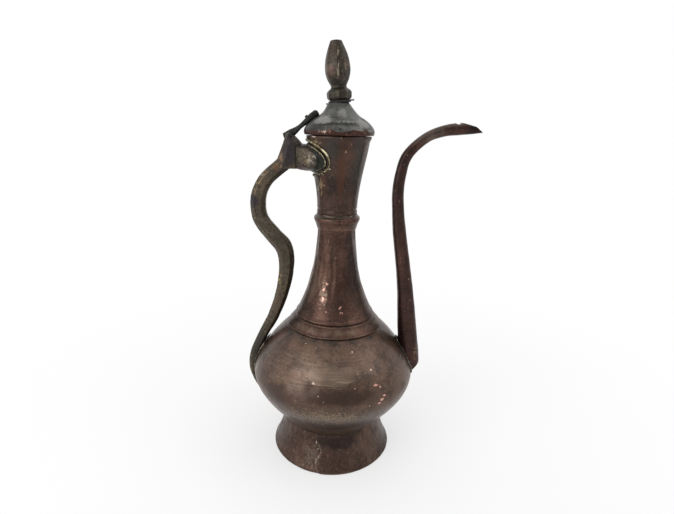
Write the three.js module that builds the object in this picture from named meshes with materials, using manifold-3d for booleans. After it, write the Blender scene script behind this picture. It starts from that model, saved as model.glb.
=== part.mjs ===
// A hand-raised copper ewer. Foot, belly, neck and mouth are sheet copper soldered into one vessel,
// the spout is a curved sheet tube, the handle is cast brass, and its head carries the hinged lid.
// Sizes are millimetres, +Z is up and the foot stands on Z = 0. The handle is on -X, the spout on +X.

import * as THREE from 'three';
import { mergeVertices } from 'three/addons/utils/BufferGeometryUtils.js';
import Module from 'manifold-3d';

const wasm = await Module();
wasm.setup();

// Sheet, clearances and facets
const sheet = 1.2; // wall of the raised copper pieces
const seat = 0.3; // gap where pieces lie or are soldered together
const swing = 0.45; // gap where pieces turn past each other
const roundSides = 32; // facets round the turned pieces
const curveSteps = 5; // facets along one arc of a turned outline
const bellySteps = 7; // and along each arc of the belly, which shows most

// Foot: a flared skirt of sheet with its rim folded inwards
const footRadius = 50.4;
const footHeight = 30;
const waistRadius = 40.9;
const rimFoldWidth = 3.2;

// Belly: a raised bowl, widest at its equator, with a short upright lip for the neck
const bellyRadius = 66.8;
const bellyLowerHeight = 41.5;
const bellyUpperHeight = 41.3;
const bellyBaseDrop = 7;
const shoulderRadius = 37.4;

// Neck: a skirt that caps the shoulder, a raised ridge, and a long sweep up to the ring
const skirtHeight = 10.4;
const skirtFlare = 1; // how far the hem of the skirt stands out on the shoulder
const skirtHem = 1.8;
const skirtTopRadius = 31.4;
const ridgeRelief = 0.6;
const neckHeight = 73;
const neckTopRadius = 14.9;

// Ring: a turned sleeve with one bead, over the joint of neck and mouth
const ringHeight = 12.7;
const ringLap = 4.1;
const ringRadius = 17;
const beadRadius = 18.2;

// Mouth: a slender trumpet with one shallow groove and an everted lip
const mouthHeight = 67.4;
const mouthRadius = 23.4;
const lipRadius = 24.8;
const lipHeight = 4.2;
const grooveDepth = 0.5;

// Lid: an ogee cap with a thick brim, and a bezel that steadies it in the mouth
const lidRadius = 26.6;
const lidHeight = 22.4;
const lidApexRadius = 8.2;
const brimHem = 2.4;
const bezelRadius = 20.6;
const bezelDrop = 8;

// Finial: eight-sided bud and collar on a stem, leaning a little towards the handle
const finialHeight = 44.2;
const finialSides = 8;
const budRadius = 9.7;
const budTopRadius = 4.3;
const finialNeckRadius = 5.9;
const collarRadius = 9.4;
const collarHeight = 7.4;
const stemRadius = 7.2;
const stemHeight = 3.8;
const tangRadius = 3;
const finialLean = 4.4; // degrees
const roveThickness = 1.3;
const roveRadius = 5;

// Wire wound round the stem to take up the play of the finial
const wireDiameter = 0.8;
const wirePitch = 1.25;
const wireTurns = 1.5;
const wireTail = 3.2;
const wireRise = 0.85; // from the crown up to the first turn

// Hinge: pin across the head of the handle, arm riveted to the lid
const pinSetback = 10.9; // from the brim of the lid out to the pin
const pinDrop = 1.8; // below the underside of the lid
const pinRadius = 1.6;
const pinHeadRadius = 2.6;
const pinHeadHeight = 1.1;
const armWidth = 5.2;
const armEyeRadius = 3.7;
const armStub = 4.6;
const stubRise = 0.9;
const stubThick = 5.4;
const armThick = 4;
const armRun = 20.6; // from the pin to the end of the tongue, along X
const armRise = 18; // and along Z
const tongueWidth = 8.4;
const tongueThick = 6.2;
const rivetRadius = 1.2;
const rivetSpacing = 5;
const openAngle = 105; // degrees that the lid turns back

// Handle: head block with two ears, S-shaped bar with bevelled edges, tail on the belly
const headWidth = 12.6;
const earRadius = 4.3;
const headDepth = 16; // along X, from the boss to the outer slope
const headHeight = 18.6;
const headChamfer = 0.8;
const headReach = 5.6; // from the pin to the face that meets the boss
const barWidthTop = 11.4;
const barWidthTail = 7;
const barSteps = 38;
const barBevel = 0.3; // share of the bar's half thickness
const tailStand = 2.2; // height of the tail's centre line over the belly
const tailSolderDrop = 14; // how far the solder runs down beside the tail
const tailSolderWidth = 1.5;
const barSetback = 8.6; // from the pin out to the top of the bar
const barDrop = 4.8; // from the foot of the head down to it

// Saddle: cast boss and flange that wrap the mouth, with the solder drawn round them
const saddleDrop = 17.7; // from the lip down to the middle of the flange
const flangeWrap = 66; // degrees to either side
const flangeHalfHeight = 13;
const flangeThickness = 1.7;
const bossHalfHeight = 9.6;
const solderWrap = 76; // degrees to either side
const solderHalfHeight = 15.6;
const solderThickness = 1.1;

// Spout: tapered tube that leaves the belly's equator, rises and hooks over into a cut beak
const spoutSides = 12;
const spoutSteps = 34;
const spoutBaseWidth = 17.6;
const spoutStemWidth = 9.6;
const spoutHookWidth = 7.9;
const spoutBeakWidth = 9.3;
const spoutBend = 161; // height of the bend over the foot of the spout
const spoutLean = 17.4; // how far the bend stands in from the foot
const hookReach = 59;
const hookRise = 34.8;
const spoutHoleWidth = 9;
const spoutHoleHeight = 13;
const spoutHoleRise = 15; // from the equator up to the middle of the hole
const beakSlope = 23; // degrees
const beakDrop = 2.9; // from the end of the hook down to the cut mouth
const notchWidth = 4;
const notchDepth = 1.9;
const spoutSolderWidth = 1.7;

// Levels that follow from the heights of the pieces
const waistZ = footHeight;
const equatorZ = waistZ + bellyLowerHeight;
const shoulderZ = equatorZ + bellyUpperHeight;
const ridgeZ = shoulderZ + skirtHeight;
const neckTopZ = ridgeZ + neckHeight;
const ringBottomZ = neckTopZ - ringLap;
const ringTopZ = ringBottomZ + ringHeight;
const lipZ = neckTopZ + mouthHeight;
const lidZ = lipZ + swing;
const apexZ = lidZ + lidHeight;
const pinX = -(lidRadius + pinSetback);
const pinZ = lidZ - pinDrop;
const saddleZ = lipZ - saddleDrop;

const point = (r, z) => new THREE.Vector2(r, z);

// A closed surface of the shared corners, with its faces turned outwards
function welded(geometry) {
  geometry.deleteAttribute('normal');
  geometry.deleteAttribute('uv');
  const merged = mergeVertices(geometry, 1e-4);
  const place = merged.getAttribute('position');
  const corners = Array.from(merged.index.array);
  const faces = [];
  let volume = 0;
  for (let i = 0; i < corners.length; i += 3) {
    const [a, b, c] = corners.slice(i, i + 3);
    if (a !== b && b !== c && c !== a) {
      faces.push([a, b, c]);
      const [pa, pb, pc] = [a, b, c].map((k) => new THREE.Vector3().fromBufferAttribute(place, k));
      volume += pa.dot(pb.cross(pc));
    }
  }
  merged.setIndex(faces.flatMap(([a, b, c]) => (volume > 0 ? [a, b, c] : [a, c, b])));
  return merged;
}

// Solids for cutting and joining, and back to a surface
function solidOf(geometry) {
  const surface = welded(geometry.clone());
  const vertProperties = new Float32Array(surface.getAttribute('position').array);
  const triVerts = new Uint32Array(surface.index.array);
  return new wasm.Manifold(new wasm.Mesh({ numProp: 3, vertProperties, triVerts }));
}

function surfaceOf(solid) {
  const mesh = solid.getMesh();
  const geometry = new THREE.BufferGeometry();
  geometry.setAttribute('position', new THREE.BufferAttribute(mesh.vertProperties, 3));
  geometry.setIndex(new THREE.BufferAttribute(mesh.triVerts, 1));
  return geometry;
}

// Turned pieces: an outline of (radius, height) revolved about Z
function turned(outline, sides = roundSides) {
  return welded(new THREE.LatheGeometry(outline, sides).rotateX(Math.PI / 2));
}

// The same outline moved sideways, to the left of its run when the distance is positive
function offset(outline, distance) {
  return outline.map((p, i) => {
    const before = outline[Math.max(i - 1, 0)];
    const after = outline[Math.min(i + 1, outline.length - 1)];
    const run = after.clone().sub(before).normalize();
    return point(Math.max(p.x - run.y * distance, 0), p.y + run.x * distance);
  });
}

// Raised sheet: the outside outline, drawn upwards, with the wall on its inner side
const shell = (outside) => {
  const inside = offset(outside, sheet).reverse();
  return [...outside, ...inside, outside[0]];
};

// The full solid inside an outline that is drawn upwards, grown by a distance
function turnedCore(outline, grow) {
  const skin = offset(outline, -grow);
  const last = skin.at(-1);
  return solidOf(turned([point(0, skin[0].y), ...skin, point(0, last.y)]));
}

function radiusAt(outline, z) {
  for (let i = 1; i < outline.length; i += 1) {
    const [low, high] = [outline[i - 1], outline[i]];
    if (low.y <= z && z <= high.y) {
      return THREE.MathUtils.mapLinear(z, low.y, high.y, low.x, high.x);
    }
  }
  return outline.at(-1).x;
}

// Skin through a row of rings with equally many corners, closed by a fan at each end
function lofted(rings) {
  const sides = rings[0].length;
  const corners = rings.flat();
  const faces = [];
  for (let r = 0; r + 1 < rings.length; r += 1) {
    for (let s = 0; s < sides; s += 1) {
      const a = r * sides + s;
      const b = r * sides + ((s + 1) % sides);
      faces.push(a, b, b + sides, a, b + sides, a + sides);
    }
  }
  const top = (rings.length - 1) * sides;
  for (let s = 1; s + 1 < sides; s += 1) {
    faces.push(0, s + 1, s, top, top + s, top + s + 1);
  }
  const geometry = new THREE.BufferGeometry().setFromPoints(corners);
  geometry.setIndex(faces);
  return welded(geometry);
}

// Bar or tube in the plane Y = 0 through stations with a place, a thickness and a width
function swept(stations, section, steps, grow = 0) {
  const path = new THREE.CatmullRomCurve3(stations.map((s) => new THREE.Vector3(s.x, 0, s.z)));
  const sizes = stations.map((s) => new THREE.Vector3(s.thick, s.wide, 0));
  const size = new THREE.CatmullRomCurve3(sizes, false, 'catmullrom', 0.5);
  const rings = [];
  for (let i = 0; i <= steps; i += 1) {
    const centre = path.getPoint(i / steps);
    const along = path.getTangent(i / steps);
    const across = new THREE.Vector3(along.z, 0, -along.x);
    const half = size.getPoint(i / steps).multiplyScalar(0.5).addScalar(grow);
    rings.push(section(half.x, half.y).map(([a, b]) => new THREE.Vector3(
      centre.x + across.x * a,
      b,
      centre.z + across.z * a,
    )));
  }
  return lofted(rings);
}

// Sections: an oval, and a rectangle with filed corners
const oval = (a, b) => Array.from({ length: spoutSides }, (_, i) => {
  const turn = ((i + 0.5) / spoutSides) * 2 * Math.PI;
  return [a * Math.cos(turn), b * Math.sin(turn)];
});

const bevelled = (a, b) => {
  const cut = a * barBevel * 2;
  const corner = Math.min(cut, b * 0.7);
  return [
    [a, b - corner], [a - corner, b], [corner - a, b], [-a, b - corner],
    [-a, corner - b], [corner - a, -b], [a - corner, -b], [a, corner - b],
  ];
};

// Round bar along Y or any direction, for pins and holes
function rod(radius, length, sides = 16) {
  return new THREE.CylinderGeometry(radius, radius, length, sides);
}

// Outside outlines of the turned vessel, each drawn upwards
const bellyOutside = new THREE.Path()
  .moveTo(0, waistZ - bellyBaseDrop)
  .lineTo(waistRadius * 0.45, waistZ - bellyBaseDrop)
  .bezierCurveTo(
    waistRadius * 0.75, waistZ - bellyBaseDrop,
    waistRadius * 0.88, waistZ - bellyBaseDrop / 2,
    waistRadius, waistZ,
  )
  .bezierCurveTo(
    THREE.MathUtils.lerp(waistRadius, bellyRadius, 0.4), waistZ + bellyLowerHeight * 0.31,
    bellyRadius, waistZ + bellyLowerHeight * 0.69,
    bellyRadius, equatorZ,
  )
  .bezierCurveTo(
    bellyRadius, equatorZ + bellyUpperHeight * 0.33,
    THREE.MathUtils.lerp(shoulderRadius, bellyRadius, 0.2), shoulderZ - 1.8,
    shoulderRadius, shoulderZ,
  );
const bellyShape = bellyOutside.getPoints(bellySteps);

const skirtEdge = point(shoulderRadius + skirtFlare, shoulderZ + seat + 0.1);
const skirtFoot = point(skirtEdge.x - skirtFlare * 1.7, skirtEdge.y + skirtHem);
const ridge = point(skirtTopRadius, ridgeZ);
const skirtTop = point(ridge.x + 0.5, ridge.y - 1.6);
const neckShape = new THREE.Path()
  .moveTo(skirtEdge.x, skirtEdge.y)
  .lineTo(skirtEdge.x - skirtFlare * 0.2, skirtEdge.y + skirtHem * 0.5)
  .lineTo(skirtFoot.x, skirtFoot.y)
  .lineTo(skirtTop.x, skirtTop.y)
  .lineTo(ridge.x + ridgeRelief, ridge.y - 0.4)
  .lineTo(ridge.x - 0.2, ridge.y + 0.9)
  .bezierCurveTo(
    THREE.MathUtils.lerp(neckTopRadius, skirtTopRadius, 0.31), ridgeZ + neckHeight * 0.29,
    neckTopRadius, ridgeZ + neckHeight * 0.67,
    neckTopRadius, neckTopZ,
  )
  .getPoints(curveSteps + 2);

// The belly's lip runs up inside the skirt, parallel to it
const skirtInside = offset([skirtFoot, skirtTop], sheet + seat);
const bellyLip = [
  point(skirtInside[0].x, Math.max(skirtInside[0].y, shoulderZ + 0.5)),
  point(skirtInside[1].x, skirtInside[1].y),
];
const bellyFull = [...bellyShape, ...bellyLip];

const grooveZ = ringTopZ + 3.7;
const mouthFoot = neckTopRadius + 0.9;
const mouthShape = new THREE.Path()
  .moveTo(neckTopRadius, neckTopZ + seat)
  .lineTo(neckTopRadius + 0.4, ringTopZ)
  .lineTo(mouthFoot, ringTopZ + 1.2)
  .lineTo(mouthFoot, grooveZ - 1.4)
  .lineTo(mouthFoot - grooveDepth, grooveZ)
  .lineTo(mouthFoot, grooveZ + 1.4)
  .bezierCurveTo(
    mouthFoot, ringTopZ + mouthHeight * 0.32,
    THREE.MathUtils.lerp(mouthFoot, mouthRadius, 0.6), lipZ - lipHeight - mouthHeight * 0.28,
    mouthRadius, lipZ - lipHeight,
  )
  .lineTo(mouthRadius + 0.6, lipZ - 2.2)
  .lineTo(lipRadius, lipZ - 0.9)
  .lineTo(lipRadius, lipZ)
  .getPoints(curveSteps);

const footShape = new THREE.Path()
  .moveTo(footRadius, 0)
  .lineTo(footRadius, sheet)
  .bezierCurveTo(
    footRadius - 3.8, footHeight * 0.28,
    waistRadius + 2.4, footHeight * 0.6,
    waistRadius + 0.2, waistZ - seat,
  )
  .getPoints(curveSteps);

const lidShape = new THREE.Path()
  .moveTo(lidRadius - 0.9, lidZ)
  .quadraticCurveTo(lidRadius + 0.1, lidZ + 1.2, lidRadius, lidZ + 3.2)
  .quadraticCurveTo(lidRadius - 1.6, lidZ + 8.6, lidRadius * 0.7, lidZ + lidHeight * 0.54)
  .quadraticCurveTo(lidRadius * 0.5, lidZ + lidHeight * 0.62, lidApexRadius, apexZ - 0.6)
  .lineTo(lidApexRadius - 0.8, apexZ)
  .getPoints(curveSteps - 1);

// Foot
function foot() {
  const inside = offset(footShape.slice(2), sheet).reverse();
  const underBelly = point(inside[0].x, inside[0].y - 0.9);
  const fold = [point(footRadius - rimFoldWidth, sheet), point(footRadius - rimFoldWidth, 0)];
  return turned([...footShape, underBelly, ...inside.slice(1), ...fold, footShape[0]]);
}

// Belly, with the hole that feeds the spout
const spoutFoot = point(radiusAt(bellyShape, equatorZ) - sheet, equatorZ + 3.5);
const holeZ = equatorZ + spoutHoleRise;

function belly() {
  const inside = offset(bellyFull, sheet).reverse();
  const wall = solidOf(turned([...bellyFull, ...inside]));
  const hole = rod(0.5, bellyRadius, 24)
    .rotateZ(Math.PI / 2)
    .scale(1, spoutHoleWidth, spoutHoleHeight)
    .translate(bellyRadius, 0, holeZ);
  return surfaceOf(wall.subtract(solidOf(hole)));
}

function neck() {
  return surfaceOf(solidOf(turned(shell(neckShape))).subtract(turnedCore(bellyFull, seat)));
}

const mouthCone = () => turned(shell(mouthShape));

// Ring: its bore follows the neck below and the mouth above
function neckRing() {
  const bore = [
    point(radiusAt(mouthShape, ringTopZ) + seat, ringTopZ),
    point(neckTopRadius + seat, neckTopZ),
    point(radiusAt(neckShape, ringBottomZ) + seat, ringBottomZ),
  ];
  const beadZ = ringBottomZ + ringHeight * 0.66;
  const outside = new THREE.Path()
    .moveTo(ringRadius - 0.4, ringBottomZ)
    .lineTo(ringRadius, ringBottomZ + 0.6)
    .lineTo(ringRadius, beadZ - 3.2)
    .quadraticCurveTo(beadRadius, beadZ - 2.8, beadRadius, beadZ)
    .quadraticCurveTo(beadRadius, beadZ + 2.6, neckTopRadius + 1.5, ringTopZ)
    .getPoints(3);
  return turned([...outside, ...bore, outside[0]]);
}

// Spout: the outer tube less its bore, less the belly, with a sloping heel and a cut mouth
const bendX = spoutFoot.x - spoutLean;
const bendZ = spoutFoot.y + spoutBend;
const onStem = ([up, lean, width]) => ({
  x: spoutFoot.x - spoutLean * lean,
  z: spoutFoot.y + spoutBend * up,
  thick: width,
  wide: width * (1 + 0.2 * Math.max(0, 1 - up * 3)),
});
const onHook = ([reach, rise, width]) => ({
  x: bendX + hookReach * reach,
  z: bendZ + hookRise * rise,
  thick: width,
  wide: Math.max(width, spoutHookWidth),
});
const spoutStations = [
  ...[
    [-0.075, 0, spoutBaseWidth],
    [0.06, 0.07, spoutBaseWidth],
    [0.137, 0.16, spoutBaseWidth * 0.966],
    [0.304, 0.333, spoutBaseWidth * 0.858],
    [0.416, 0.451, spoutBaseWidth * 0.761],
    [0.522, 0.595, spoutBaseWidth * 0.693],
    [0.729, 0.905, spoutBaseWidth * 0.614],
    [0.829, 1.017, spoutStemWidth * 1.02],
    [0.925, 1.066, spoutStemWidth * 0.98],
    [1, 1, spoutStemWidth * 0.93],
  ].map(onStem),
  ...[
    [0.042, 0.316, spoutHookWidth * 1.09],
    [0.122, 0.534, spoutHookWidth * 1.04],
    [0.319, 0.822, spoutHookWidth],
    [0.515, 0.954, spoutHookWidth * 1.08],
    [0.712, 1.003, spoutBeakWidth],
    [0.88, 0.997, spoutBeakWidth * 0.87],
    [1.04, 1, spoutBeakWidth * 0.61],
  ].map(onHook),
];

// A block whose lower face slopes through a point, with everything below it taken away
function below(x, z, slope, depth) {
  const block = new THREE.BoxGeometry(bellyRadius * 2, bellyRadius, depth).translate(0, 0, -depth / 2);
  return solidOf(block.rotateY(-THREE.MathUtils.degToRad(slope)).translate(x, 0, z));
}

// The spout's outer solid, grown by a distance, with its heel cut off on a slope
const heel = point(bellyRadius + 0.4, equatorZ - 1.4);
const heelSlope = 45;
function spoutSolid(grow, heelShift) {
  return solidOf(swept(spoutStations, oval, spoutSteps, grow))
    .subtract(below(heel.x + heelShift, heel.y, heelSlope, bellyRadius));
}

function spout() {
  const outer = spoutSolid(0, 0);
  const bore = spoutSolid(-sheet, -sheet * Math.SQRT2);
  const tip = point(bendX + hookReach, bendZ + hookRise - beakDrop);
  const mouthCut = solidOf(new THREE.BoxGeometry(hookReach, hookRise, hookRise)
    .translate(0, 0, hookRise / 2)
    .rotateY(THREE.MathUtils.degToRad(beakSlope))
    .translate(tip.x, 0, tip.y));
  const notchX = bendX + hookReach * 0.73;
  const notchZ = bendZ + hookRise * 1.01 + spoutBeakWidth / 2 - notchDepth;
  const notch = solidOf(new THREE.BoxGeometry(notchWidth, hookRise, notchWidth)
    .rotateY(Math.PI / 4)
    .translate(notchX, 0, notchZ + notchWidth * Math.SQRT1_2));
  const tube = outer.subtract(bore).subtract(turnedCore(bellyFull, seat));
  return surfaceOf(tube.subtract(mouthCut).subtract(notch));
}

// Solder drawn round the foot of the spout, lying on the belly
function spoutSolder() {
  const layer = turnedCore(bellyFull, seat + solderThickness).subtract(turnedCore(bellyFull, seat));
  const wide = spoutSolid(spoutSolderWidth, spoutSolderWidth * 1.2);
  return surfaceOf(layer.intersect(wide).subtract(spoutSolid(seat, seat * 2)));
}

// Handle: the S of the bar bows out and in from the straight line between head and tail
const headX = pinX - barSetback;
const headZ = pinZ - headHeight - barDrop;
const tailZ = equatorZ - 2;
const tailX = -(bellyRadius + tailStand);
const headFace = pinX + headReach;
const bowed = (share, bow, thick) => ({
  x: THREE.MathUtils.lerp(headX, tailX, share) - bow,
  z: THREE.MathUtils.lerp(headZ, tailZ, share),
  thick,
  wide: THREE.MathUtils.lerp(barWidthTop, barWidthTail, share),
});
const onBelly = (drop, thick) => ({
  x: -(radiusAt(bellyShape, equatorZ - drop) + tailStand),
  z: equatorZ - drop,
  thick,
  wide: barWidthTail,
});
const barStations = [
  { x: headX + 5, z: headZ + 4, thick: 11.4, wide: barWidthTop },
  bowed(0.06, 8.9, 11.2),
  bowed(0.14, 12.6, 11.8),
  bowed(0.235, 9, 12),
  bowed(0.316, -3, 12.8),
  bowed(0.366, -11.5, 13.9),
  bowed(0.425, -15.6, 12.8),
  bowed(0.546, -16.9, 11.2),
  bowed(0.712, -12.1, 9.2),
  bowed(0.822, -5.1, 8),
  bowed(0.928, 0.1, 7.6),
  onBelly(2, 7.2),
  onBelly(12, 6.6),
  onBelly(20, 6),
];

function handleHead() {
  const headFoot = pinZ - headHeight - 5;
  const chin = point(headFace + 6.2, pinZ - 4.5);
  const shape = new THREE.Shape()
    .moveTo(headFace, headFoot)
    .lineTo(headFace, chin.y)
    .lineTo(chin.x, chin.y)
    .absarc(pinX, pinZ, earRadius, THREE.MathUtils.degToRad(43), THREE.MathUtils.degToRad(202), false)
    .lineTo(headFace - headDepth, pinZ - headHeight)
    .lineTo(headFace - headDepth + 3, headFoot)
    .lineTo(headFace, headFoot);
  const settings = {
    depth: headWidth - 2 * headChamfer,
    curveSegments: 8,
    bevelThickness: headChamfer,
    bevelSize: headChamfer,
    bevelOffset: -headChamfer,
    bevelSegments: 1,
  };
  return new THREE.ExtrudeGeometry(shape, settings)
    .translate(0, 0, headChamfer - headWidth / 2)
    .rotateX(Math.PI / 2);
}

function handle() {
  const bar = solidOf(swept(barStations, bevelled, barSteps));
  const head = solidOf(handleHead());
  const stubCorner = point(-armStub - 0.4, stubRise + stubThick / 2)
    .rotateAround(point(0, 0), THREE.MathUtils.degToRad(openAngle));
  const slotDepth = Math.max(-stubCorner.y, armEyeRadius) + seat;
  const slot = new THREE.BoxGeometry(headDepth * 2, armWidth + 2 * swing, headHeight * 2)
    .translate(pinX, 0, pinZ - slotDepth + headHeight);
  const bore = rod(pinRadius + seat, headWidth * 2).translate(pinX, 0, pinZ);
  return surfaceOf(head.add(bar)
    .subtract(solidOf(slot))
    .subtract(solidOf(bore))
    .subtract(turnedCore(bellyFull, seat)));
}

// Solder fillets along the tail, where it lies on the belly
function tailSolder() {
  const layer = turnedCore(bellyFull, seat + solderThickness).subtract(turnedCore(bellyFull, seat));
  const reach = solidOf(new THREE.BoxGeometry(bellyRadius, bellyRadius, bellyUpperHeight * 2)
    .translate(tailX, 0, tailZ - tailSolderDrop + bellyUpperHeight));
  const wide = solidOf(swept(barStations, bevelled, barSteps, tailSolderWidth));
  const near = solidOf(swept(barStations, bevelled, barSteps, seat));
  return surfaceOf(layer.intersect(wide).intersect(reach).subtract(near));
}

// Saddle: a boss that swells from the head of the handle to the neck, and its flange
const acrossMouth = (degrees, z) => radiusAt(mouthShape, z) * Math.sin(THREE.MathUtils.degToRad(degrees));

// An oval that is bent round the mouth to so many degrees, as a block that runs out to the handle
function wrapped(degrees, halfHeight) {
  const outline = Array.from({ length: 36 }, (_, i) => {
    const turn = (i / 36) * 2 * Math.PI;
    const z = saddleZ + halfHeight * Math.sin(turn);
    return point(acrossMouth(degrees * Math.cos(turn), z), z);
  });
  const settings = { depth: bellyRadius, bevelEnabled: false };
  return solidOf(new THREE.ExtrudeGeometry(new THREE.Shape(outline), settings)
    .rotateX(Math.PI / 2)
    .rotateZ(Math.PI / 2)
    .translate(-bellyRadius, 0, 0));
}

function saddle() {
  const start = headFace + seat;
  const bossZ = pinZ - headHeight * 0.79;
  const flangeHalf = acrossMouth(flangeWrap, saddleZ);
  const rings = [0, 0.2, 0.45, 0.72, 1].map((share) => {
    const swell = Math.sin(share * Math.PI / 2);
    const halfWidth = THREE.MathUtils.lerp(headWidth / 2 - 0.3, flangeHalf * 0.87, swell);
    const halfHeight = THREE.MathUtils.lerp(bossHalfHeight, flangeHalfHeight - 2.2, swell);
    const z = THREE.MathUtils.lerp(bossZ, saddleZ, swell);
    const x = THREE.MathUtils.lerp(start, -10, share);
    return Array.from({ length: 20 }, (_, i) => {
      const turn = (i / 20) * 2 * Math.PI;
      return new THREE.Vector3(x, halfWidth * Math.cos(turn), z + halfHeight * Math.sin(turn));
    });
  });
  const flange = turnedCore(mouthShape, seat + flangeThickness)
    .intersect(wrapped(flangeWrap, flangeHalfHeight));
  return surfaceOf(solidOf(lofted(rings)).add(flange).subtract(turnedCore(mouthShape, seat)));
}

function saddleSolder() {
  const layer = turnedCore(mouthShape, seat + solderThickness).subtract(turnedCore(mouthShape, seat));
  const bare = wrapped(flangeWrap + 2, flangeHalfHeight + seat);
  return surfaceOf(layer.intersect(wrapped(solderWrap, solderHalfHeight)).subtract(bare));
}

// Hinge pin: peened over at both ears
function hingePin() {
  const half = headWidth / 2 + 0.1;
  const profile = new THREE.Path()
    .moveTo(0, -half - pinHeadHeight)
    .quadraticCurveTo(pinHeadRadius, -half - pinHeadHeight, pinHeadRadius, -half - 0.1)
    .lineTo(pinRadius, -half - 0.1)
    .lineTo(pinRadius, half + 0.1)
    .lineTo(pinHeadRadius, half + 0.1)
    .quadraticCurveTo(pinHeadRadius, half + pinHeadHeight, 0, half + pinHeadHeight)
    .getPoints(4);
  return welded(new THREE.LatheGeometry(profile, 16)).translate(pinX, 0, pinZ);
}

// Lid: ogee shell with its hem turned in, pierced for the tang and the rivets
const lidInside = () => offset(lidShape, sheet);
const tongueEnd = -pinX - armRun;
const rivetPlaces = [tongueEnd, tongueEnd + rivetSpacing];

function rivetAt(radius, geometry) {
  const above = lidShape.findIndex((p) => p.x <= radius && p.y > lidZ + 4);
  const [low, high] = [lidShape[above - 1], lidShape[above]];
  const z = THREE.MathUtils.mapLinear(radius, low.x, high.x, low.y, high.y);
  const slope = Math.atan2(high.y - low.y, low.x - high.x);
  return geometry.rotateX(Math.PI / 2).rotateY(-slope).translate(-radius, 0, z);
}

function lid() {
  const inside = lidInside().filter((p) => p.y > lidZ + sheet + 0.2).reverse();
  const hem = [point(lidRadius - 0.9 - brimHem, lidZ + sheet), point(lidRadius - 0.9 - brimHem, lidZ)];
  const tangHole = tangRadius + 0.7;
  const crown = [point(tangHole, apexZ), point(tangHole, apexZ - sheet)];
  const wall = [...inside.slice(1), point(inside.at(-1).x, lidZ + sheet)];
  let solid = solidOf(turned([...lidShape, ...crown, ...wall, ...hem, lidShape[0]]));
  for (const radius of rivetPlaces) {
    solid = solid.subtract(solidOf(rivetAt(radius, rod(rivetRadius + seat, armRun, 10))));
  }
  return surfaceOf(solid);
}

// Bezel: an angle ring that lies on the hem and reaches down into the mouth
function lidBezel() {
  const flangeZ = lidZ + sheet + seat;
  const outer = lidRadius - sheet - seat - 0.5;
  return turned([
    point(bezelRadius - sheet, lidZ - bezelDrop),
    point(bezelRadius, lidZ - bezelDrop),
    point(bezelRadius, flangeZ),
    point(outer, flangeZ),
    point(outer, flangeZ + sheet),
    point(bezelRadius - sheet, flangeZ + sheet),
    point(bezelRadius - sheet, lidZ - bezelDrop),
  ]);
}

// Finial, drawn from its peened tang up, about its own axis with the top of the lid at 0
const leanRise = (radius) => radius * Math.sin(THREE.MathUtils.degToRad(finialLean));
const stemFoot = seat + leanRise(stemRadius);
const tangHead = tangRadius + 1.1;
const tangEnd = -(sheet + seat + roveThickness + seat) - leanRise(tangHead);

function finial() {
  const collarTop = stemHeight + collarHeight;
  const neckAt = collarTop + 2.1;
  const budAt = THREE.MathUtils.lerp(neckAt, finialHeight, 0.38);
  const bud = new THREE.Path()
    .moveTo(0, stemHeight)
    .lineTo(collarRadius - 1.4, stemHeight)
    .lineTo(collarRadius, stemHeight + 1.8)
    .lineTo(collarRadius, stemHeight + collarHeight - 2.2)
    .lineTo(collarRadius - 2.2, collarTop)
    .lineTo(finialNeckRadius, neckAt)
    .quadraticCurveTo(budRadius, neckAt + 4, budRadius, budAt)
    .bezierCurveTo(
      budRadius, budAt + 8,
      budTopRadius + 2, finialHeight - 5,
      budTopRadius + 0.4, finialHeight - 1,
    )
    .lineTo(budTopRadius, finialHeight)
    .lineTo(0, finialHeight)
    .getPoints(5);
  const stem = [
    point(0, tangEnd - 1.2),
    point(tangHead, tangEnd - 1),
    point(tangHead, tangEnd),
    point(tangRadius, tangEnd),
    point(tangRadius, stemFoot),
    point(stemRadius, stemFoot),
    point(stemRadius, stemHeight + 0.5),
    point(0, stemHeight + 0.5),
  ];
  return surfaceOf(solidOf(turned(bud, finialSides)).add(solidOf(turned(stem, 24))));
}

// Rove: the washer under the crown that the tang is peened over
function finialRove() {
  const bore = tangRadius + 0.5;
  return turned([
    point(bore, -sheet - seat - roveThickness),
    point(roveRadius, -sheet - seat - roveThickness),
    point(roveRadius, -sheet - seat),
    point(bore, -sheet - seat),
    point(bore, -sheet - seat - roveThickness),
  ], 24);
}

// Wire: one length wound round the stem, with both ends standing off
function finialWire() {
  const radius = stemRadius + 0.25 + wireDiameter / 2;
  const start = wireDiameter / 2 + wireRise;
  const from = Math.PI * 0.92;
  const coil = (turns) => {
    const turn = from + turns * 2 * Math.PI;
    return new THREE.Vector3(radius * Math.cos(turn), radius * Math.sin(turn), start + turns * wirePitch);
  };
  const steps = Math.round(wireTurns * 24);
  const turns = Array.from({ length: steps + 1 }, (_, i) => coil((i / steps) * wireTurns));
  const tailFrom = (end, next, rise) => {
    const away = end.clone().sub(next).normalize();
    const out = new THREE.Vector3(end.x, end.y, 0).normalize();
    return [0.45, 1].map((share) => end.clone()
      .addScaledVector(away, wireTail * share * 0.45)
      .addScaledVector(out, wireTail * share * 0.9)
      .add(new THREE.Vector3(0, 0, rise * share)));
  };
  const first = tailFrom(turns[0], turns[1], 0).reverse();
  const last = tailFrom(turns.at(-1), turns.at(-2), 0);
  const path = new THREE.CatmullRomCurve3([...first, ...turns, ...last]);
  const gaps = [];
  for (let a = 0; a <= steps; a += 1) {
    for (let b = a + 12; b <= steps; b += 1) {
      gaps.push(turns[a].distanceTo(turns[b]) - wireDiameter);
    }
  }
  console.log(`wire, least gap to itself: ${Math.min(...gaps).toFixed(2)} mm`);
  const round = new THREE.Shape().absarc(0, 0, wireDiameter / 2, 0, 2 * Math.PI, false);
  return welded(new THREE.ExtrudeGeometry(round, {
    steps: steps + 10,
    curveSegments: 3,
    bevelEnabled: false,
    extrudePath: path,
  }));
}

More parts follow.
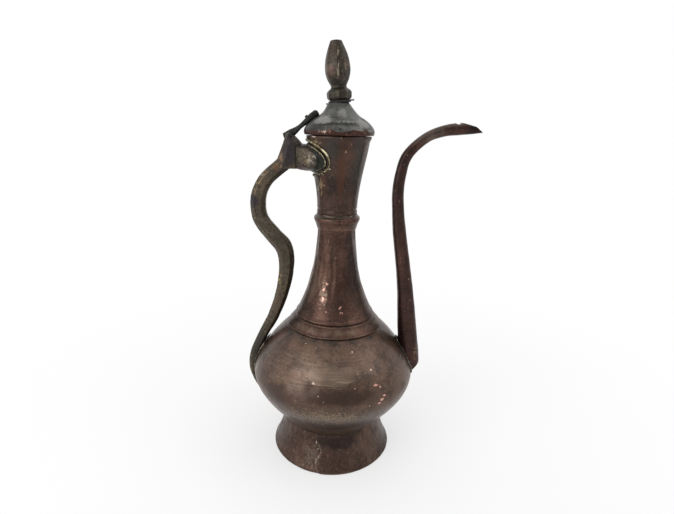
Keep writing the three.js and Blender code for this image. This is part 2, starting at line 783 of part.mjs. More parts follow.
// Arm: eye on the pin, stub behind it as the stop, bar and tongue up the slope of the lid
function hingeArm() {
  const stations = [
    { x: pinX - armStub, z: pinZ + stubRise, thick: stubThick, wide: armWidth },
    { x: pinX, z: pinZ + stubRise * 1.7, thick: stubThick * 1.07, wide: armWidth },
    { x: pinX + armRun * 0.354, z: pinZ + armRise * 0.444, thick: armThick, wide: armWidth * 1.08 },
    { x: pinX + armRun * 0.602, z: pinZ + armRise * 0.667, thick: armThick * 1.25, wide: tongueWidth * 0.85 },
    { x: pinX + armRun * 0.825, z: pinZ + armRise * 0.883, thick: tongueThick, wide: tongueWidth },
    { x: pinX + armRun, z: pinZ + armRise, thick: tongueThick * 0.8, wide: tongueWidth * 0.81 },
  ];
  const bar = solidOf(swept(stations, bevelled, 16));
  const eye = solidOf(rod(armEyeRadius, armWidth).translate(pinX, 0, pinZ));
  const bore = solidOf(rod(pinRadius + swing, headWidth).translate(pinX, 0, pinZ));
  let arm = bar.add(eye).subtract(bore).subtract(turnedCore(lidShape, seat));
  for (const radius of rivetPlaces) {
    arm = arm.subtract(solidOf(rivetAt(radius, rod(rivetRadius + seat, armRun * 2, 10))));
  }
  return surfaceOf(arm);
}

// Rivet: a shank through tongue and lid, headed inside the lid
function armRivet(radius) {
  const under = -sheet - seat - 0.2;
  const wide = rivetRadius + 0.7;
  const rise = 5;
  const profile = [
    point(0, under - 1.4),
    point(rivetRadius + 0.4, under - 1.1),
    point(wide, under - 0.3),
    point(wide, under),
    point(rivetRadius, under),
    point(rivetRadius, rise),
    point(0, rise),
  ];
  return rivetAt(radius, welded(new THREE.LatheGeometry(profile, 10)));
}

// Finishes: colour, roughness and metalness
const copper = [0x6a5145, 0.45, 0.9];
const copperRed = [0x5a3c33, 0.45, 0.9];
const brass = [0x5b5036, 0.5, 0.85];
const tinned = [0x5d5e5a, 0.5, 0.8];
const iron = [0x2b2a27, 0.6, 0.8];
const solder = [0xa1926c, 0.6, 0.6];

const ewer = new THREE.Group();
const vessel = new THREE.Group();
ewer.add(vessel);

function place(parent, name, geometry, [color, roughness, metalness]) {
  const mesh = new THREE.Mesh(geometry, new THREE.MeshStandardMaterial({ color, roughness, metalness }));
  mesh.name = name;
  parent.add(mesh);
}

place(vessel, 'foot', foot(), copper);
place(vessel, 'belly', belly(), copper);
place(vessel, 'neck', neck(), copper);
place(vessel, 'neck_ring', neckRing(), copperRed);
place(vessel, 'mouth_cone', mouthCone(), copperRed);
place(vessel, 'spout', spout(), copperRed);
place(vessel, 'spout_solder', spoutSolder(), solder);
place(vessel, 'handle', handle(), brass);
place(vessel, 'tail_solder', tailSolder(), solder);
place(vessel, 'handle_saddle', saddle(), brass);
place(vessel, 'saddle_solder', saddleSolder(), solder);
place(vessel, 'hinge_pin', hingePin(), iron);
place(vessel, 'lid', lid(), tinned);
place(vessel, 'lid_bezel', lidBezel(), tinned);
place(vessel, 'finial_rove', finialRove().translate(0, 0, apexZ), copper);
place(vessel, 'hinge_arm', hingeArm(), iron);
rivetPlaces.forEach((radius, i) => place(vessel, `arm_rivet_${i + 1}`, armRivet(radius), iron));

// Finial and its wire lean together about the crown of the lid
const leaning = new THREE.Group();
leaning.position.z = apexZ;
leaning.rotation.y = -THREE.MathUtils.degToRad(finialLean);
vessel.add(leaning);
place(leaning, 'finial', finial(), brass);
place(leaning, 'finial_wire', finialWire(), iron);

// The origin is the middle of the space that the ewer takes up on the table
const space = new THREE.Box3().setFromObject(ewer);
vessel.position.x = -(space.min.x + space.max.x) / 2;
vessel.position.y = -(space.min.y + space.max.y) / 2;

export default ewer;
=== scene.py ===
import math

import bmesh
import bpy
import numpy as np
from mathutils import Matrix, Vector, noise


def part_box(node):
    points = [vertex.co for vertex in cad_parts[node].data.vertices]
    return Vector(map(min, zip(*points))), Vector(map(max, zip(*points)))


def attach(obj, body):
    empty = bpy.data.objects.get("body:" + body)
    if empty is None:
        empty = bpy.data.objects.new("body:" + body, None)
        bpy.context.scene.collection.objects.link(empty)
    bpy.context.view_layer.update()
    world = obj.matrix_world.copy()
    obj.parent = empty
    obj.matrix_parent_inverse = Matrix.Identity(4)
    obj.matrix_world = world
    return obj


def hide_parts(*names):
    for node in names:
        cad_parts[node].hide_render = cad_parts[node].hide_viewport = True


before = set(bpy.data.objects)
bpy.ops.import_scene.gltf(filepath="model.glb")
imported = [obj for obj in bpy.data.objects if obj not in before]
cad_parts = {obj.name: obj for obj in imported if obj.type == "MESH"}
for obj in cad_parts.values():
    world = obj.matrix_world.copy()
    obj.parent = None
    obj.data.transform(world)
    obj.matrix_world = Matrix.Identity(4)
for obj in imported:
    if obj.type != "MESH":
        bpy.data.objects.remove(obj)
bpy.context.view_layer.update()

# View. The ewer is seen from just above its lip through a short lens that is held a
# little askew. The eye is measured from the axis of the vessel and from the table.
mm = 0.001
foot_low, foot_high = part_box("foot")
axis_x = (foot_low.x + foot_high.x) / 2
eye = Vector((axis_x + 4.57 * mm, -358.64 * mm, 270.39 * mm))
look_down, look_aside, tilt = (math.radians(angle) for angle in (15.852, 0.587, 1.519))
frame_width_px = 674
focal_length_px = 459.41
sensor_width = 36

forward = Vector((
    -math.sin(look_aside) * math.cos(look_down),
    math.cos(look_aside) * math.cos(look_down),
    -math.sin(look_down),
))
level = Vector((math.cos(look_aside), math.sin(look_aside), 0))
upright = level.cross(forward)
right_side = level * math.cos(tilt) + upright * math.sin(tilt)
upper_side = upright * math.cos(tilt) - level * math.sin(tilt)


def put_in(name, data):
    """A new object in the scene."""
    made = bpy.data.objects.new(name, data)
    bpy.context.scene.collection.objects.link(made)
    return made


lens = bpy.data.cameras.new("view")
lens.sensor_width = sensor_width
lens.lens = focal_length_px / frame_width_px * sensor_width
lens.clip_start = 0.01
camera = put_in("view", lens)
held_level = Matrix((right_side, upper_side, -forward)).transposed().to_4x4()
camera.matrix_world = Matrix.Translation(eye) @ held_level
bpy.context.scene.camera = camera
bpy.context.scene.view_settings.view_transform = "Standard"


# Studio. A pale table under a soft white room, darker where the viewer stands, with one
# large soft lamp high on the left and a weaker one on the right.
def add_node(tree, kind, inputs=(), **settings):
    """A shader node with its settings and its sockets, which take a value or another socket."""
    made = tree.nodes.new(kind)
    for key, value in settings.items():
        setattr(made, key, value)
    for key, value in dict(inputs).items():
        if isinstance(value, bpy.types.NodeSocket):
            tree.links.new(value, made.inputs[key])
        else:
            made.inputs[key].default_value = value
    return made


def calculated(tree, operation, *values):
    """A sum of numbers or sockets, as a socket."""
    return add_node(tree, "ShaderNodeMath", enumerate(values), operation=operation).outputs[0]


def moved(tree, operation, *values, out="Vector"):
    """The same for a place or a direction."""
    return add_node(tree, "ShaderNodeVectorMath", enumerate(values), operation=operation).outputs[out]


def ranged(tree, value, low, high, to_low=0.0, to_high=1.0):
    """The value carried smoothly from one range to another."""
    sockets = {"Value": value, "From Min": low, "From Max": high, "To Min": to_low, "To Max": to_high}
    return add_node(tree, "ShaderNodeMapRange", sockets, interpolation_type="SMOOTHSTEP").outputs[0]


room = bpy.data.worlds.new("room")
bpy.context.scene.world = room
room.use_nodes = True
air = room.node_tree
air.nodes.clear()
direction = add_node(air, "ShaderNodeTexCoord").outputs["Generated"]
toward = add_node(air, "ShaderNodeSeparateXYZ", {0: direction}).outputs
behind = ranged(air, toward["Y"], -0.9, 0.1, 0.3, 1.0)
overhead = ranged(air, toward["Z"], 0.12, 0.6, 0.0, 0.42)
glow = calculated(air, "MINIMUM", calculated(air, "ADD", behind, overhead), 1.0)


def seen_directly(tree, *kinds):
    """Where the viewer, or such a ray, meets the backdrop."""
    path = add_node(tree, "ShaderNodeLightPath").outputs
    seen = path["Is Camera Ray"]
    for kind in kinds:
        seen = calculated(tree, "MAXIMUM", seen, path[kind])
    return seen


seen = seen_directly(air, "Is Transmission Ray")
mirrored = add_node(air, "ShaderNodeLightPath").outputs["Is Glossy Ray"]
mirrored = calculated(air, "MULTIPLY", mirrored, ranged(air, toward["Y"], -0.1, 0.1))
seen = calculated(air, "MAXIMUM", seen, mirrored)
soft_light = add_node(air, "ShaderNodeBackground", {"Color": (1, 1, 1, 1), "Strength": glow})
white = add_node(air, "ShaderNodeBackground", {"Color": (1, 1, 1, 1), "Strength": 1.0})
chosen = add_node(air, "ShaderNodeMixShader", {0: seen, 1: soft_light.outputs[0], 2: white.outputs[0]})
add_node(air, "ShaderNodeOutputWorld", {0: chosen.outputs[0]})

table_paint = bpy.data.materials.new("pale_table")
table_paint.use_nodes = True
paint = table_paint.node_tree
paint.nodes.clear()
matt = add_node(paint, "ShaderNodeBsdfDiffuse", {"Color": (0.86, 0.86, 0.86, 1)})
lit = add_node(paint, "ShaderNodeEmission", {"Color": (1, 1, 1, 1), "Strength": 1.0})
spot = add_node(paint, "ShaderNodeTexCoord").outputs["Object"]
far = moved(paint, "LENGTH", spot, out="Value")
whiter = ranged(paint, far, 0.1, 0.5, 0.55, 1.0)
seen = seen_directly(paint, "Is Glossy Ray", "Is Transmission Ray")
share = calculated(paint, "MULTIPLY", seen, whiter)
blend = add_node(paint, "ShaderNodeMixShader", {0: share, 1: matt.outputs[0], 2: lit.outputs[0]})
add_node(paint, "ShaderNodeOutputMaterial", {0: blend.outputs[0]})
half_table = 6.0
table_mesh = bpy.data.meshes.new("table")
table_corners = [(x * half_table, y * half_table, 0) for x, y in ((-1, -1), (1, -1), (1, 1), (-1, 1))]
table_mesh.from_pydata(table_corners, [], [(0, 1, 2, 3)])
table_mesh.materials.append(table_paint)
put_in("table", table_mesh)


def hang_lamp(name, place, size, power):
    """A square soft lamp that faces the middle of the ewer."""
    lamp = bpy.data.lights.new(name, "AREA")
    lamp.size = size
    lamp.energy = power
    holder = put_in(name, lamp)
    holder.location = place
    downwards = Vector((axis_x, 0, 0.15)) - Vector(place)
    holder.rotation_euler = downwards.to_track_quat("-Z", "Y").to_euler()


hang_lamp("lamp_left", (-0.8, -0.75, 0.55), 0.8, 5.0)
hang_lamp("lamp_right", (0.9, -0.3, 0.8), 0.6, 1.6)


# Foot. A flared skirt cut from one strip of copper sheet, bent round and brazed where its
# ends overlap, on the side that faces the viewer. The rim is folded inwards to stand on.
foot_radius = (foot_high.x - foot_low.x) / 2 / mm
foot_height = foot_high.z / mm
waist_radius = 40.9
sheet_wall = 1.2
rim_fold = 3.2


def at(x, y, z):
    """A place in mm from the axis, in the frame."""
    return (axis_x + x * mm, y * mm, z * mm)


def bowed(a, b, c, d, steps=16):
    """A curved stretch of an outline from a to d as (radius, height) points, without the first."""
    stretch = []
    for i in range(1, steps + 1):
        t = i / steps
        weights = ((1 - t) ** 3, 3 * t * (1 - t) ** 2, 3 * t * t * (1 - t), t ** 3)
        stretch.append(tuple(sum(w * p[k] for w, p in zip(weights, (a, b, c, d))) for k in (0, 1)))
    return stretch


def traced(*stretches):
    """An outline of lists of points and of curves: two controls, an end and a number of steps."""
    outline = []
    for stretch in stretches:
        outline += stretch if isinstance(stretch, list) else bowed(outline[-1], *stretch)
    return outline


def near(r, z, *steps):
    """Points by how far each lies from a radius and a height."""
    return [(r + out, z + up) for out, up in steps]


def beside(outline, distance):
    """The outline moved sideways, to the left of its run where the distance is positive."""
    shifted = []
    for i, (r, z) in enumerate(outline):
        before, after = outline[max(i - 1, 0)], outline[min(i + 1, len(outline) - 1)]
        run = Vector((after[0] - before[0], after[1] - before[1])).normalized()
        shifted.append((max(r - run.y * distance, 0), z + run.x * distance))
    return shifted


def rounded_edge(a, b):
    """Points of the half circle that closes sheet metal between its two sides."""
    middle, reach = (Vector(a) + Vector(b)) / 2, (Vector(a) - Vector(b)) / 2
    out = Vector((-reach.y, reach.x))
    return [tuple(middle + reach * math.cos(t) + out * math.sin(t)) for t in (0.6, 1.2, 1.9, 2.5)]


def sheet_outline(outside, wall):
    """The closed outline of sheet metal from its outside, which is drawn upwards."""
    inside = beside(outside, wall)[::-1]
    return outside + rounded_edge(outside[-1], inside[0]) + inside + rounded_edge(inside[-1], outside[0])


def bands(rows, sides, closed=False, flipped=False):
    """Faces between rows of points, with flat ends unless the last row meets the first."""
    faces = []
    if not closed:
        first, last = tuple(range(sides)), tuple(range((rows - 1) * sides, rows * sides))
        faces = [first, last[::-1]] if flipped else [first[::-1], last]
    for i in range(rows if closed else rows - 1):
        a, b = i * sides, (i + 1) % rows * sides
        for s in range(sides):
            n = (s + 1) % sides
            faces.append((a + n, a + s, b + s, b + n) if flipped else (a + s, a + n, b + n, b + s))
    return faces


def turned(outline, sides, shape=None):
    """A closed outline in mm turned about the axis. shape gives each point's (outwards, upwards) shift."""
    points = []
    for r, z in outline:
        for s in range(sides):
            angle = 2 * math.pi * s / sides
            out, up = shape(angle, r, z) if shape else (0, 0)
            points.append(at((r + out) * math.cos(angle), (r + out) * math.sin(angle), z + up))
    return points, bands(len(outline), sides, closed=True)


def new_piece(name, surface, finish, crease=40):
    """A piece with smooth faces and sharp edges where it turns by more than the crease."""
    mesh = bpy.data.meshes.new(name)
    mesh.from_pydata(surface[0], [], surface[1])
    work = bmesh.new()
    work.from_mesh(mesh)
    bmesh.ops.remove_doubles(work, verts=work.verts, dist=1e-7)
    work.to_mesh(mesh)
    work.free()
    mesh.materials.append(finish)
    return smoothed(put_in(name, mesh), crease)


def smoothed(piece, crease=40):
    piece.data.shade_smooth()
    piece.data.set_sharp_from_angle(angle=math.radians(crease))
    return piece


def fix(piece, body, slot, *nodes):
    """The piece stands for its solids and moves with their body."""
    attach(piece, body)
    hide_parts(*nodes)


def waver(angle, z, radius, size, seed):
    """Smooth unevenness from -1 to 1 on a turned wall, in waves of about the size in mm."""
    place = Vector((radius * math.cos(angle), radius * math.sin(angle), z)) / size
    return noise.noise(place + Vector((seed, seed * 1.7, 0)))


def new_effect(name, result, **inputs):
    """A node group with its inputs, one output and the place on the piece."""
    effect = bpy.data.node_groups.new(name, "ShaderNodeTree")
    for label, value in inputs.items():
        kind = "NodeSocketVector" if isinstance(value, tuple) else "NodeSocketFloat"
        effect.interface.new_socket(label, in_out="INPUT", socket_type=kind).default_value = value
    effect.interface.new_socket(result, in_out="OUTPUT", socket_type="NodeSocketFloat")
    place = add_node(effect, "ShaderNodeTexCoord").outputs["Object"]
    return effect, effect.nodes.new("NodeGroupInput").outputs, place


def ended(effect, value):
    """The node group, which puts out this value."""
    add_node(effect, "NodeGroupOutput", {0: value})
    return effect


def noisy(tree, place, scale, detail, roughness=0.5):
    sockets = {"Vector": place, "Scale": scale, "Detail": detail, "Roughness": roughness}
    return add_node(tree, "ShaderNodeTexNoise", sockets).outputs


def make_cloudy_effect():
    """Uneven tone in clouds, streaks or fine lines, by how far the noise is stretched each way."""
    effect, given, place = new_effect(
        "cloudy", "Mask", Stretch=(1, 1, 1), Scale=50, Detail=4, Low=0.35, High=0.65)
    drawn_out = moved(effect, "MULTIPLY", place, given["Stretch"])
    tone = noisy(effect, drawn_out, given["Scale"], given["Detail"], 0.6)[0]
    return ended(effect, ranged(effect, tone, given["Low"], given["High"]))


def make_speck_effect():
    """Small scattered specks: the share of cells that hold one, and their size in their cell."""
    effect, given, place = new_effect("specks", "Mask", Scale=300, Size=0.3, Share=0.1)
    shaken = noisy(effect, place, 900.0, 2.0)[1]
    spot = moved(effect, "ADD", place, moved(effect, "MULTIPLY", shaken, (0.0006, 0.0006, 0.0006)))
    cell = add_node(effect, "ShaderNodeTexVoronoi", {"Vector": spot, "Scale": given["Scale"]}).outputs
    draw = add_node(effect, "ShaderNodeSeparateXYZ", {0: cell["Color"]}).outputs["X"]
    held = calculated(effect, "LESS_THAN", draw, given["Share"])
    inner = calculated(effect, "MULTIPLY", given["Size"], 0.6)
    close = ranged(effect, cell["Distance"], inner, given["Size"], 1.0, 0.0)
    return ended(effect, calculated(effect, "MULTIPLY", held, close))


def make_blotch_effect():
    """A ragged patch round a centre, with its half size each way, for wear and for painted light and shade.
    """
    effect, given, place = new_effect(
        "ragged_blotch", "Mask", Centre=(0, 0, 0), Size=(0.01, 0.01, 0.01), Scale=350,
        Fill=0.5, Low=0.78, High=0.86)
    share = moved(effect, "DIVIDE", moved(effect, "SUBTRACT", place, given["Centre"]), given["Size"])
    inside = ranged(effect, moved(effect, "LENGTH", share, out="Value"), 0.0, 1.0, 1.0, 0.0)
    rough = noisy(effect, place, given["Scale"], 5.0)[0]
    filled = calculated(effect, "ADD", rough, calculated(effect, "MULTIPLY", inside, given["Fill"]))
    ragged = ranged(effect, filled, given["Low"], given["High"])
    return ended(effect, calculated(effect, "MULTIPLY", ragged, ranged(effect, inside, 0.0, 0.25)))


def make_rub_effect():
    """Where ridges and edges are rubbed bright, broken up by fine noise."""
    effect, given, place = new_effect("rubbed_edge", "Mask", Low=0.52, High=0.58, Scale=120)
    ridge = add_node(effect, "ShaderNodeNewGeometry").outputs["Pointiness"]
    sharp = ranged(effect, ridge, given["Low"], given["High"])
    left = ranged(effect, noisy(effect, place, given["Scale"], 4.0)[0], 0.35, 0.6)
    return ended(effect, calculated(effect, "MULTIPLY", sharp, left))


def make_hammer_effect():
    """Shallow facets of the planishing hammer with fine grain on them, as a height."""
    effect, given, place = new_effect("hammered", "Height", Scale=110, Grain=0.15)
    blows = {"Vector": place, "Scale": given["Scale"], "Smoothness": 0.8}
    facets = add_node(effect, "ShaderNodeTexVoronoi", blows, feature="SMOOTH_F1").outputs["Distance"]
    fine = calculated(effect, "MULTIPLY", noisy(effect, place, 1400.0, 3.0)[0], given["Grain"])
    return ended(effect, calculated(effect, "ADD", facets, fine))


effects = {
    "cloudy": make_cloudy_effect(),
    "specks": make_speck_effect(),
    "blotch": make_blotch_effect(),
    "rub": make_rub_effect(),
    "hammer": make_hammer_effect(),
}


class Finish:
    """A metal finish that is built up in layers: base colour, roughness and a relief in mm."""

    def __init__(self, name, colour, roughness, metallic, sheen=0.0):
        self.material = bpy.data.materials.new(name)
        self.material.use_nodes = True
        self.tree = self.material.node_tree
        self.tree.nodes.clear()
        self.colour = (*colour, 1)
        self.roughness = roughness
        self.metallic = metallic
        self.sheen = sheen
        self.relief = None

    def effect(self, kind, **values):
        """The output of one of the shared effects with its own values."""
        made = self.tree.nodes.new("ShaderNodeGroup")
        made.node_tree = effects[kind]
        for label, value in values.items():
            made.inputs[label.capitalize()].default_value = value
        return made.outputs[0]

    def paint(self, colour, mask, share=1.0):
        """Another colour where the mask is."""
        amount = calculated(self.tree, "MULTIPLY", mask, share)
        layers = {0: amount, 6: self.colour, 7: (*colour, 1)}
        self.colour = add_node(self.tree, "ShaderNodeMix", layers, data_type="RGBA").outputs[2]

    def layer(self, colour, amount, kind="cloudy", **values):
        """Another colour where one of the shared effects is, whose mask is handed back."""
        mask = self.effect(kind, **values)
        self.paint(colour, mask, amount)
        return mask

    def roughen(self, mask, amount):
        """Rougher, or smoother where the amount is negative, where the mask is."""
        self.roughness = calculated(self.tree, "MULTIPLY_ADD", mask, amount, self.roughness)

    def raise_by(self, mask, height):
        """A relief of so many mm where the mask is."""
        step = calculated(self.tree, "MULTIPLY", mask, height * mm)
        self.relief = calculated(self.tree, "ADD", self.relief, step) if self.relief else step

    def done(self):
        surface = {"Base Color": self.colour, "Roughness": self.roughness, "Metallic": self.metallic}
        surface |= {"Coat Weight": self.sheen, "Coat Roughness": 0.22}
        if self.relief:
            bump = {"Height": self.relief, "Distance": 1.0, "Strength": 1.0}
            surface["Normal"] = add_node(self.tree, "ShaderNodeBump", bump).outputs[0]
        shader = add_node(self.tree, "ShaderNodeBsdfPrincipled", surface)
        add_node(self.tree, "ShaderNodeOutputMaterial", {0: shader.outputs[0]})
        return self.material


fresh_copper = (0.62, 0.33, 0.27)
pale_wear_and_glint = (0.5, 0.42, 0.34)
near_black = (0.02, 0.016, 0.014)
around = (1, 1, 5)


def old_copper(name, dark, middle, light, roughness=0.42, clouds=1.0, sheen=0.0):
    """Copper sheet under old brown patina: clouds of tone, mottling, pits, nicks and the hammer's facets."""
    finish = Finish(name, middle, roughness, 0.86, sheen)
    finish.layer(dark, 0.75 * clouds, scale=26.0, low=0.45, high=0.7)
    finish.layer(light, 0.6 * clouds, scale=19.0, detail=6.0, low=0.5, high=0.74)
    finish.layer(dark, 0.35, stretch=around, scale=16.0, detail=5.0, low=0.45, high=0.7)
    mottle = finish.layer(near_black, 0.42, scale=95.0, detail=7.0, low=0.46, high=0.66)
    finish.roughen(mottle, 0.14)
    fine = finish.layer(light, 0.4, scale=480.0, detail=4.0, low=0.48, high=0.7)
    finish.layer(near_black, 0.4, scale=650.0, detail=3.0, low=0.52, high=0.68)
    pits = finish.layer(near_black, 0.7, "specks", scale=420.0, size=0.3, share=0.12)
    finish.layer(pale_wear_and_glint, 0.6, "specks", scale=520.0, size=0.2, share=0.05)
    finish.raise_by(finish.effect("hammer", scale=120.0, grain=0.1), 0.12)
    finish.raise_by(mottle, 0.05)
    finish.raise_by(fine, 0.03)
    finish.raise_by(pits, -0.05)
    return finish


def wear_and_light_patches(finish, colour, places, share=1.0, **values):
    """Patches of wear, and of painted light and shade: each has its place and its half sizes in mm."""
    for place, size in places:
        mask = finish.effect("blotch", centre=at(*place), size=tuple(s * mm for s in size), **values)
        finish.paint(colour, mask, share)
        finish.roughen(mask, -0.06)


soft = {"scale": 160.0, "fill": 0.7, "low": 0.5, "high": 1.0}
speckled = {"scale": 520.0, "fill": 0.3, "low": 0.62, "high": 0.74}


seam_middle, seam_sway, seam_crest, seam_wave = -9.8, 2.2, 17, 20
seam_step, seam_fade = 0.6, 38


def foot_shape(angle, r, z):
    """The upper end of the strip stands off the lower one along the seam."""
    seam = seam_middle + seam_sway * math.cos((z - seam_crest) * 2 * math.pi / seam_wave)
    past = r * math.cos(angle) - seam if math.sin(angle) < 0 else -1
    step = seam_step * min(past / 0.5, 1) * max(0, 1 - past / seam_fade) if past > 0 else 0
    uneven = 0.35 * waver(angle, z, foot_radius, 26, 3) + 0.14 * waver(angle, z, foot_radius, 8, 5)
    return step + uneven, 0


def place_parts(tree):
    """The place on the piece as its X, Y and Z."""
    place = add_node(tree, "ShaderNodeTexCoord").outputs["Object"]
    return add_node(tree, "ShaderNodeSeparateXYZ", {0: place}).outputs


def along_seam(finish, width, shift=0.0):
    """A broken line along the overlap, so many mm wide."""
    tree = finish.tree
    part = place_parts(tree)
    turn = 2 * math.pi / seam_wave
    phase = calculated(tree, "MULTIPLY_ADD", part["Z"], turn / mm, -seam_crest * turn)
    wave = calculated(tree, "COSINE", phase)
    seam = calculated(tree, "MULTIPLY_ADD", wave, seam_sway * mm, axis_x + (seam_middle + shift) * mm)
    across = calculated(tree, "ABSOLUTE", calculated(tree, "SUBTRACT", part["X"], seam))
    line = ranged(tree, across, width * 0.3 * mm, width * mm, 1.0, 0.0)
    front = calculated(tree, "MULTIPLY", line, calculated(tree, "LESS_THAN", part["Y"], 0.0))
    return calculated(tree, "MULTIPLY", front, finish.effect("cloudy", scale=260.0, low=0.42, high=0.58))


foot_outside = traced(
    near(foot_radius, 0, (-0.4, 0.15), (0, 0.6), (0, 1.6)),
    ((foot_radius - 3.8, foot_height * 0.28), (waist_radius + 2.4, foot_height * 0.6),
     (waist_radius - 0.7, foot_height - 0.2), 44),
)
foot_inside = beside(foot_outside[4:], sheet_wall)[::-1]
foot_fold = near(foot_radius - rim_fold, 0, (0, 1.3), (0, 0.3), (0.3, 0))
foot_outline = foot_outside + rounded_edge(foot_outside[-1], foot_inside[0]) + foot_inside + foot_fold
foot_outline += [(foot_radius - 1.0, 0)]

foot_copper = old_copper(
    "foot_copper", (0.026, 0.015, 0.011), (0.078, 0.045, 0.033), (0.155, 0.1, 0.074), 0.38)
strokes = foot_copper.layer(
    (0.15, 0.11, 0.09), 0.45, stretch=(7, 7, 1), scale=34.0, detail=4.0, low=0.5, high=0.72)
foot_copper.roughen(strokes, -0.08)
wear_and_light_patches(foot_copper, (0.028, 0.018, 0.016), [((8, -41, 24), (28, 14, 9))], 0.85, **soft)
# Painted shade: the top of the foot goes near black where it meets the belly.
wear_and_light_patches(foot_copper, (0.012, 0.009, 0.008), [((0, 0, foot_height), (60, 60, 2.2))], 0.9, **soft)
# Painted shadow: a dark line beside the seam, next to the step of the overlap.
foot_copper.paint((0.025, 0.018, 0.015), along_seam(foot_copper, 1.2, -1.2), 0.7)
foot_copper.paint((0.36, 0.29, 0.23), along_seam(foot_copper, 0.35), 0.8)
wear_and_light_patches(foot_copper, (0.16, 0.125, 0.1), [((-15, -44, 14), (13, 10, 15))], 0.45, **speckled)
wear_and_light_patches(foot_copper, (0.5, 0.43, 0.37), [
    ((-11.5, -43, 23), (2.2, 5, 3)),
    ((-10, -45, 18), (2, 5, 3)),
    ((-11.5, -48, 9), (2, 5, 5)),
], 0.9, scale=800.0, fill=0.34, low=0.7, high=0.8)
foot_copper.layer((0.26, 0.2, 0.155), 0.6, "rub")
foot_skirt = new_piece("foot_skirt", turned(foot_outline, 240, foot_shape), foot_copper.done())
fix(foot_skirt, "jug", "copper_brown", "foot")


# Belly. Raised with the hammer from one disc of copper, planished in rings, and dented at
# the front with use. It stands in the foot and is pierced behind the spout.
belly_low, belly_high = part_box("belly")
belly_radius = (belly_high.y - belly_low.y) / 2 / mm
waist_z = foot_height + 0.3
belly_rise, shoulder_rise = 41.5, 41.3
equator_z = waist_z + belly_rise
shoulder_z = equator_z + shoulder_rise
shoulder_radius = 37.4
floor_z = belly_low.z / mm

belly_outside = traced(
    [(0, floor_z), (waist_radius * 0.2, floor_z), (waist_radius * 0.45, floor_z)],
    ((waist_radius * 0.75, floor_z), (waist_radius * 0.88, waist_z - 3.5), (waist_radius, waist_z), 8),
    ((waist_radius * 0.6 + belly_radius * 0.4, waist_z + belly_rise * 0.31),
     (belly_radius, waist_z + belly_rise * 0.69), (belly_radius, equator_z), 40),
    ((belly_radius, equator_z + shoulder_rise * 0.33),
     (shoulder_radius * 0.8 + belly_radius * 0.2, shoulder_z - 1.8), (shoulder_radius, shoulder_z), 44),
    [(35.6, shoulder_z + 1.3), (32.4, belly_high.z / mm)],
)
dents = [
    ((4, -65, 79), 34, 6.5, 1.3),
    ((-14, -59, 84), 6, 3.6, 1.1),
    ((0, -62, 85), 7, 4, 0.9),
    ((15, -61, 86), 8, 4, 0.8),
    ((30, -55, 87), 7, 4, 0.6),
    ((40, -53, 74), 8, 7, 0.7),
    ((-38, -50, 90), 16, 11, 0.8),
    ((10, 60, 92), 18, 10, 0.9),
]


def belly_shape(angle, r, z):
    sunk = 0
    if r > waist_radius:
        for (x, y, height), across, tall, depth in dents:
            aside = (angle - math.atan2(y, x) + math.pi) % (2 * math.pi) - math.pi
            share = (aside * r / across) ** 2 + ((z - height) / tall) ** 2
            sunk += depth * math.exp(-share)
    uneven = 0.4 * waver(angle, z, r, 30, 11) + 0.12 * waver(angle, z * 1.6, r, 11, 13)
    return (uneven if r > 20 else 0) - sunk, 0


def apply_modifiers(piece, crease=40):
    """The piece's mesh with its modifiers made real."""
    shown = piece.evaluated_get(bpy.context.evaluated_depsgraph_get())
    mesh = bpy.data.meshes.new_from_object(shown)
    piece.modifiers.clear()
    piece.data = mesh
    return smoothed(piece, crease)


def carve(piece, *cutters, crease=40):
    """Takes the cutters' space away from the piece."""
    for cutter in cutters:
        cut = piece.modifiers.new("cut", "BOOLEAN")
        cut.operation = "DIFFERENCE"
        cut.solver = "EXACT"
        cut.object = cutter
    apply_modifiers(piece, crease)
    for cutter in cutters:
        bpy.data.objects.remove(cutter)
    return piece


def plain_solid(name, make, matrix, **values):
    """One of Blender's plain shapes, for cutting and joining."""
    mesh = bpy.data.meshes.new(name)
    work = bmesh.new()
    make(work, matrix=matrix, **values)
    work.to_mesh(mesh)
    work.free()
    return put_in(name, mesh)


def rod(place, direction, radius, length, sides=40, flat=1.0):
    """A round or flattened bar about a place in mm."""
    aimed = Matrix.Translation(at(*place)) @ Vector(direction).to_track_quat("Z", "Y").to_matrix().to_4x4()
    return plain_solid(
        "rod", bmesh.ops.create_cone, aimed @ Matrix.Diagonal((1, flat, 1, 1)), cap_ends=True, segments=sides,
        radius1=radius * mm, radius2=radius * mm, depth=length * mm)


belly_brown = old_copper(
    "belly_copper", (0.058, 0.032, 0.022), (0.118, 0.068, 0.046), (0.19, 0.125, 0.088), 0.46, sheen=0.3)
turning = belly_brown.effect("cloudy", stretch=(0.8, 0.8, 32), scale=58.0, detail=4.0, low=0.46, high=0.66)
scoured = belly_brown.effect(
    "blotch", centre=at(-12, -50, 92), size=(0.07, 0.05, 0.024), scale=30.0, fill=0.8, low=0.6, high=1.0)
turned_lines = calculated(belly_brown.tree, "MULTIPLY", turning, scoured)
belly_brown.paint((0.24, 0.185, 0.145), turned_lines, 0.42)
belly_brown.raise_by(turned_lines, 0.02)
# Painted highlight: a broad lighter zone across the upper front of the belly.
wear_and_light_patches(belly_brown, (0.22, 0.16, 0.12), [((-2, -56, 93), (36, 22, 9))], 0.4, **soft)
